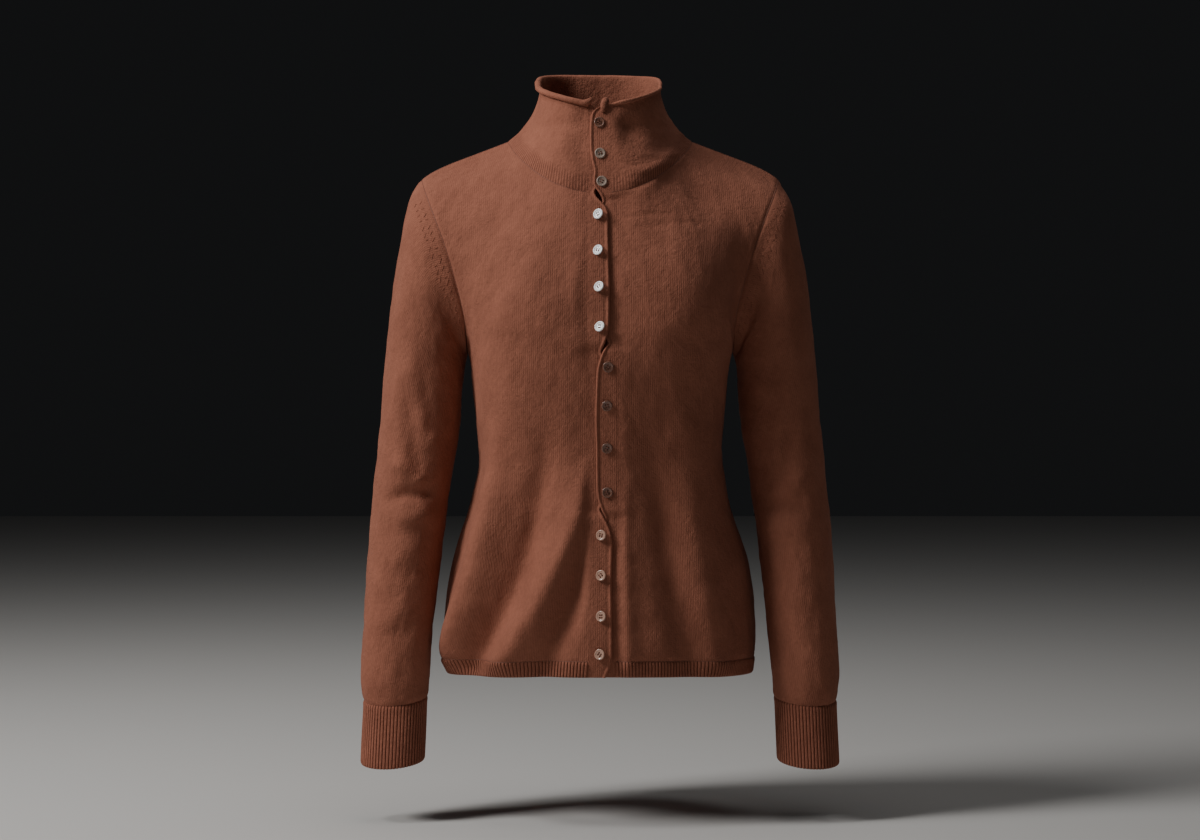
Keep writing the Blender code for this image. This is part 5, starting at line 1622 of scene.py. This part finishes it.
class CARDIGAN_OT_collar(bpy.types.Operator):
    """Builds the mock neck collar with its rolled top edge"""
    bl_idname = "cardigan.collar"
    bl_label = "Collar"

    def execute(self, context):
        knit = context.scene.cardigan_knit
        settings = context.scene.cardigan_collar
        walls = collar_walls(knit.cell)
        normal = facings(walls, 1)
        if np.sum(normal[:, :, :2] * walls[:, :, :2]) < 0:
            normal = -normal
        station = lengths_along(walls)
        level = lengths_across(walls)
        from_end = station[-1:] - station
        edges = edge_distance(station, from_end, level)
        height = cloth_relief(station, level, edges, knit.relief * COLLAR_RELIEF, 51)
        height += collar_forms(walls, level, edges, from_end)
        height += seam_dip(level, DIPS["collar"])
        sheet = walls + normal * (height - settings.wall / 2)[:, :, None]
        sheet = np.concatenate([sheet, self.roll(sheet, normal, settings)], axis=1)
        uv = stacked(lengths_along(sheet)[:, :1], lengths_across(sheet))
        SEAMS["collar_rim"] = sheet[:, -1]
        piece = cloth_piece("collar_knit", sheet, uv, settings.wall,
                            cardigan_materials()["wool collar knit"], flip=False,
                            centred=True)
        belong(piece, "collar")
        self.roll_ends()
        return {"FINISHED"}

    def roll(self, sheet, normal, settings):
        """Points of the edge that rolls outward over itself and back in."""
        up = sheet[:, -1] - sheet[:, -2]
        up /= np.linalg.norm(up, axis=1, keepdims=True)
        out = normal[:, -1] - up * np.sum(normal[:, -1] * up, axis=1, keepdims=True)
        out /= np.linalg.norm(out, axis=1, keepdims=True)
        thin = 1.0 - ROLL_THINNER * smooth_step(sheet[:, -1, :1] / ROLL_THIN_X)
        from_tip = np.linalg.norm(sheet[:, -1] - sheet[-1, -1], axis=1, keepdims=True)
        thin = thin * (ROLL_TIP_SHARE + (1.0 - ROLL_TIP_SHARE)
                       * smooth_step(from_tip / ROLL_TIP_LENGTH))
        outer = settings.roll_radius * thin - settings.wall / 2
        inner = outer * ROLL_INNER
        centre = sheet[:, -1] + up * settings.roll_radius * ROLL_LIFT + out * outer
        columns = []
        for angle in np.linspace(0.0, settings.roll_turn, ROLL_STEPS + 1)[1:]:
            radius = outer + (inner - outer) * angle / settings.roll_turn
            columns.append(centre + radius * (up * sin(angle) - out * cos(angle)))
        return np.stack(columns, axis=1)

    def roll_ends(self):
        """The two curled tips at the placket, where the rolled edge ends."""
        body = bmesh.new()
        for rows in (ROLL_END_RIGHT, ROLL_END_LEFT):
            points = [Vector(row) for row in stacked(*(rows[axis] for axis in "xyz"))]
            sweep(body, points, rows["radius"], ROLL_END_SIDES)
        bmesh.ops.recalc_face_normals(body, faces=body.faces)
        piece = new_piece("collar_roll_ends", new_mesh("collar_roll_ends", body),
                          cardigan_materials()["wool jersey knit"])
        piece.data.uv_layers.new(name="knit")
        ride_along(piece)


# ---------------------------------------------------------------- placket

class CARDIGAN_OT_placket(bpy.types.Operator):
    """Builds the right and left band of the placket"""
    bl_idname = "cardigan.placket"
    bl_label = "Placket"

    def execute(self, context):
        settings = context.scene.cardigan_placket
        bead = settings.bead_width
        way = np.array(BAND_COLUMNS)[None]
        for side, hand in HANDS:
            edge = EDGE_LEFT if side > 0 else EDGE_RIGHT
            z = np.linspace(edge["z"][0], edge["z"][-1], BAND_ROWS)
            seam_at = placket_points(side, z)[:, 0] + side * BAND_TUCK
            reach = rounded(np.interp(z, edge["z"], edge["x"])) - seam_at
            width = np.abs(reach)[:, None]
            x = seam_at[:, None] + reach[:, None] * way
            y = ((centre_front_y(z) + layer_shift(side, z))[:, None]
                 + BAND_STEP * (1.0 - smooth_step(way * width / BAND_RISE)))
            grid = stacked(x, y, z[:, None])
            from_edge = (1.0 - way) * width
            height = settings.bead * hump(from_edge - bead / 2, bead * BEAD_FALL)
            height -= BEAD_GROOVE * hump(from_edge - bead * BEAD_FOOT, BEAD_LINE)
            height -= BEAD_END * hump(from_edge, BEAD_LINE)
            height += BAND_RELIEF * unevenness(x, z[:, None], *BAND_HUMPS, 61 + side)
            grid = grid + front_facing(z)[:, None] * height[:, :, None]
            piece = cloth_piece("band_" + hand + "_knit", grid, stacked(x, z[:, None]),
                                settings.wall, cardigan_materials()["wool jersey knit"],
                                flip=side > 0)
            belong(piece, "band_" + hand)
        return {"FINISHED"}


def rounded(values):
    """Rounds the corners of an edge."""
    for _ in range(2):
        inner = (values[:-2] + 2 * values[1:-1] + values[2:]) / 4
        values = np.concatenate([values[:1], inner, values[-1:]])
    return values


# ---------------------------------------------------------------- buttons

class CARDIGAN_OT_buttons(bpy.types.Operator):
    """Builds the fifteen buttons and the thread that holds them"""
    bl_idname = "cardigan.buttons"
    bl_label = "Buttons"

    def execute(self, context):
        settings = context.scene.cardigan_buttons
        materials = cardigan_materials()
        blank = self.blank(settings)
        threads = bmesh.new()
        rows = zip(BUTTONS["x"], BUTTONS["z"], BUTTON_TILTS, BUTTON_SHELLS_AND_LIGHTS)
        for number, (x, z, (left, up), shell) in enumerate(rows, 1):
            node = "button_%02d" % number
            facing = front_facing(np.float64(z))
            tilt = atan2(facing[2], -facing[1])
            turn = (Matrix.Rotation(-radians(left), 4, "Z")
                    @ Matrix.Rotation(-radians(up), 4, "X")
                    @ Matrix.Rotation(pi / 2 - tilt, 4, "X")
                    @ Matrix.Rotation(number * BUTTON_SPIN, 4, "Z"))
            face_y = float(centre_front_y(z)) - LAYER_STEP
            lift = SEAM_GAP + settings.radius * sin(radians(abs(left))) / 2
            seat = Vector((x, face_y, z)) + Vector(facing) * lift
            place = Matrix.Translation(seat) @ turn
            mesh = blank.copy()
            mesh.name = node + "_shell"
            mesh.transform(place)
            piece = new_piece(node + "_shell", mesh,
                              materials[shell + " polyester shell button"])
            belong(piece, node)
            self.sew(threads, settings, place)
        bpy.data.meshes.remove(blank)
        ride_along(new_piece("button_threads", new_mesh("button_threads", threads),
                             materials["polyester sewing thread"]))
        return {"FINISHED"}

    def blank(self, settings):
        """A turned button with a raised rim, a dished middle and four holes."""
        depth = settings.thickness
        outline = [(settings.radius - inward, depth * level)
                   for inward, level in BUTTON_OUTLINE]
        outline = [(0.0, 0.0), *outline, (0.0, depth * DISH_LEVEL)]
        disc = bmesh.new()
        verts = [disc.verts.new((r, 0.0, h)) for r, h in outline]
        edges = [disc.edges.new(pair) for pair in zip(verts, verts[1:])]
        bmesh.ops.spin(disc, geom=verts + edges, cent=(0, 0, 0), axis=(0, 0, 1),
                       angle=2 * pi, steps=BUTTON_STEPS, use_merge=True)
        bmesh.ops.remove_doubles(disc, verts=disc.verts, dist=MERGE_DISTANCE)
        bmesh.ops.recalc_face_normals(disc, faces=disc.faces)
        drills = bmesh.new()
        for corner in range(4):
            angle = pi / 4 + corner * pi / 2
            place = Matrix.Translation((settings.hole_distance * cos(angle),
                                        settings.hole_distance * sin(angle), depth / 2))
            bmesh.ops.create_cone(drills, cap_ends=True, segments=HOLE_SEGMENTS,
                                  depth=depth * 2, radius1=settings.hole,
                                  radius2=settings.hole, matrix=place)
        body, drill = (bpy.data.objects.new(name, new_mesh(name, form))
                       for name, form in (("button_blank", disc), ("drills", drills)))
        for item in (body, drill):
            bpy.context.scene.collection.objects.link(item)
        cut = body.modifiers.new("holes", "BOOLEAN")
        cut.operation = "DIFFERENCE"
        cut.solver = "EXACT"
        cut.object = drill
        graph = bpy.context.evaluated_depsgraph_get()
        drilled = bpy.data.meshes.new_from_object(body.evaluated_get(graph))
        bpy.data.objects.remove(body)
        bpy.data.objects.remove(drill)
        drilled.set_sharp_from_angle(angle=BUTTON_EDGE)
        return drilled

    def sew(self, threads, settings, place):
        """Two strands of thread across each pair of one button's holes."""
        height = settings.thickness * DISH_LEVEL - STRAND_SINK
        reach = settings.hole_distance * cos(pi / 4)
        for row in (-1, 1):
            for strand in (-0.5, 0.5):
                y = row * reach + strand * STRAND_GAP
                line = []
                for step in range(STRAND_STEPS + 1):
                    way = step / STRAND_STEPS
                    z = height + STRAND_ARCH * sin(pi * way) ** STRAND_BOW
                    line.append(place @ Vector((reach * (2 * way - 1), y, z)))
                sweep(threads, line, [STRAND_RADIUS] * len(line), STRAND_SIDES)


def sweep(body, points, radii, sides):
    """Adds a closed tube along a line of points, with a radius at each."""
    rings = []
    for i, (point, radius) in enumerate(zip(points, radii)):
        before = points[max(i - 1, 0)]
        after = points[min(i + 1, len(points) - 1)]
        turn = (after - before).to_track_quat("Z", "Y").to_matrix().to_4x4()
        made = bmesh.ops.create_circle(body, segments=sides, radius=radius,
                                       matrix=Matrix.Translation(point) @ turn)
        rings.append(made["verts"])
    for pair in zip(rings, rings[1:]):
        edges = [edge for ring in pair
                 for edge in {edge for vert in ring for edge in vert.link_edges
                              if edge.other_vert(vert) in ring}]
        bmesh.ops.bridge_loops(body, edges=edges)
    for ring in (rings[0], rings[-1]):
        bmesh.ops.contextual_create(body, geom=ring)


# ---------------------------------------------------------------- seams

def chain(name, lines, radius, material):
    """Linked stitches along seam lines: a thin cord that swells at each stitch."""
    body = bmesh.new()
    for line in lines:
        steps = np.linalg.norm(np.diff(line, axis=0), axis=1)
        count = max(int(round(steps.sum() / STITCH_PITCH)) * 3, 3)
        points = resample(line, np.linspace(0.0, 1.0, count + 1))
        tangent = np.gradient(points, axis=0)
        tangent /= np.linalg.norm(tangent, axis=1, keepdims=True)
        first = np.cross(tangent, (0.3, 0.2, 1.0))
        first /= np.linalg.norm(first, axis=1, keepdims=True)
        second = np.cross(tangent, first)
        beat = np.abs(np.sin(np.arange(count + 1) * pi / 3))
        swell = radius * (STITCH_LOW + STITCH_SWELL * beat)
        grid = bmesh.ops.create_grid(body, x_segments=STITCH_SIDES, y_segments=count,
                                     size=1.0)
        for vert in grid["verts"]:
            turn = round((vert.co.x + 1) / 2 * STITCH_SIDES)
            at = round((vert.co.y + 1) / 2 * count)
            angle = 2 * pi * turn / STITCH_SIDES
            vert.co = (points[at] + first[at] * swell[at] * cos(angle)
                       + second[at] * swell[at] * sin(angle))
    bmesh.ops.remove_doubles(body, verts=body.verts, dist=MERGE_DISTANCE)
    bmesh.ops.holes_fill(body, edges=[edge for edge in body.edges if edge.is_boundary])
    bmesh.ops.recalc_face_normals(body, faces=body.faces)
    piece = new_piece(name, new_mesh(name, body), bpy.data.materials[material])
    piece.data.uv_layers.new(name="knit")
    return piece


class CARDIGAN_OT_seams(bpy.types.Operator):
    """Builds the linked stitches along the seams"""
    bl_idname = "cardigan.seams"
    bl_label = "Seams"

    def execute(self, context):
        if "armhole_front_right" not in SEAMS:
            raise RuntimeError("build the fronts, back, cuffs and hem ribs first")
        for name, words, radius in (
            ("armhole_stitches", ("armhole",), STITCH_RADIUS),
            ("side_stitches", ("side_",), STITCH_RADIUS),
            ("neck_stitches", ("neck", "shoulder"), NECK_STITCH_RADIUS),
            ("rib_stitches", ("top",), STITCH_RADIUS),
        ):
            lines = [line for key, line in SEAMS.items()
                     if any(word in key for word in words)]
            ride_along(chain(name, lines, radius, "polyester sewing thread"))
        marks = self.marks("sleeve_right") + self.marks("sleeve_left")
        ride_along(chain("fashioning_marks", marks, MARK_RADIUS, "wool jersey knit"))
        return {"FINISHED"}

    def marks(self, name):
        """Short slanted lines beside the armhole, where stitches were narrowed."""
        rows = SEAMS["marks_" + name]
        last = rows.shape[1] - 1
        draw = np.random.RandomState(71)
        lines = []
        for low, high in ((0, 1), (2, 3)):
            for place in np.arange(MARKS_FROM, MARKS_TO, MARK_STEP):
                at = place + draw.uniform(-MARK_SLANT, MARK_SLANT) * MARK_STEP
                for way in (at, 1.0 - at):
                    start = rows[low, int(round(way * last))]
                    end = rows[high, int(round((way + MARK_SLANT * MARK_STEP) * last))]
                    lines.append(np.stack([start, end]))
        return lines


# ---------------------------------------------------------------- stage

class CARDIGAN_OT_stage(bpy.types.Operator):
    """Sets up the camera, the soft lights and a plain pale floor"""
    bl_idname = "cardigan.stage"
    bl_label = "Stage"

    def execute(self, context):
        scene = context.scene
        stage = scene.cardigan_stage
        lens = bpy.data.cameras.new("camera")
        lens.sensor_width = SENSOR_WIDTH
        lens.lens = SENSOR_WIDTH * stage.distance / stage.view_width
        camera = bpy.data.objects.new("camera", lens)
        camera.location = (0.0, -stage.distance, stage.eye_height)
        camera.rotation_euler = (pi / 2, 0.0, 0.0)
        scene.collection.objects.link(camera)
        scene.camera = camera
        for name, (place, breadth) in LIGHTS.items():
            light = bpy.data.lights.new(name + "_light", "AREA")
            light.shape = "DISK"
            light.size = breadth
            light.energy = getattr(stage, name)
            item = bpy.data.objects.new(name + "_light", light)
            item.location = place
            towards = Vector(LIGHT_TARGET) - item.location
            item.rotation_euler = towards.to_track_quat("-Z", "Y").to_euler()
            scene.collection.objects.link(item)
        floor = bmesh.new()
        bmesh.ops.create_grid(
            floor, x_segments=8, y_segments=8, size=stage.floor_size / 2,
            matrix=Matrix.Translation((0.0, 0.0, stage.floor_height)))
        # Painted studio floor: matt and pale, so that it sends soft light back up.
        paint, tree, shader = new_material("matt floor paint")
        fill_inputs(tree, shader, {"Base Color": (*stage.floor, 1.0), "Roughness": 0.9})
        new_piece("floor", new_mesh("floor", floor), paint)
        world = bpy.data.worlds.new("studio")
        world.use_nodes = True
        background = world.node_tree.nodes["Background"]
        background.inputs["Color"].default_value = (*stage.sky, 1.0)
        background.inputs["Strength"].default_value = stage.room
        scene.world = world
        return {"FINISHED"}


# ---------------------------------------------------------------- panel and running

class CARDIGAN_PT_panel(bpy.types.Panel):
    """Lists the cardigan's sizes and the steps that build it"""
    bl_idname = "CARDIGAN_PT_panel"
    bl_label = "Mock Neck Cardigan"
    bl_space_type = "VIEW_3D"
    bl_region_type = "UI"
    bl_category = "Cardigan"

    def draw(self, context):
        for name, group in SETTINGS.items():
            box = self.layout.box()
            for prop in group.__annotations__:
                box.prop(getattr(context.scene, name), prop)
        for step in OPERATORS:
            self.layout.operator(step.bl_idname)


OPERATORS = (
    CARDIGAN_OT_stage,
    CARDIGAN_OT_fronts,
    CARDIGAN_OT_back,
    CARDIGAN_OT_sleeves,
    CARDIGAN_OT_cuffs,
    CARDIGAN_OT_hem_ribs,
    CARDIGAN_OT_collar,
    CARDIGAN_OT_placket,
    CARDIGAN_OT_buttons,
    CARDIGAN_OT_seams,
)
CLASSES = tuple(SETTINGS.values()) + OPERATORS + (CARDIGAN_PT_panel,)


def register():
    for item in CLASSES:
        bpy.utils.register_class(item)
    for name, group in SETTINGS.items():
        setattr(bpy.types.Scene, name, PointerProperty(type=group))


def unregister():
    for name in SETTINGS:
        delattr(bpy.types.Scene, name)
    for item in reversed(CLASSES):
        bpy.utils.unregister_class(item)


def main():
    register()
    for step in OPERATORS:
        group, name = step.bl_idname.split(".")
        getattr(getattr(bpy.ops, group), name)()


if __name__ == "__main__":
    main()
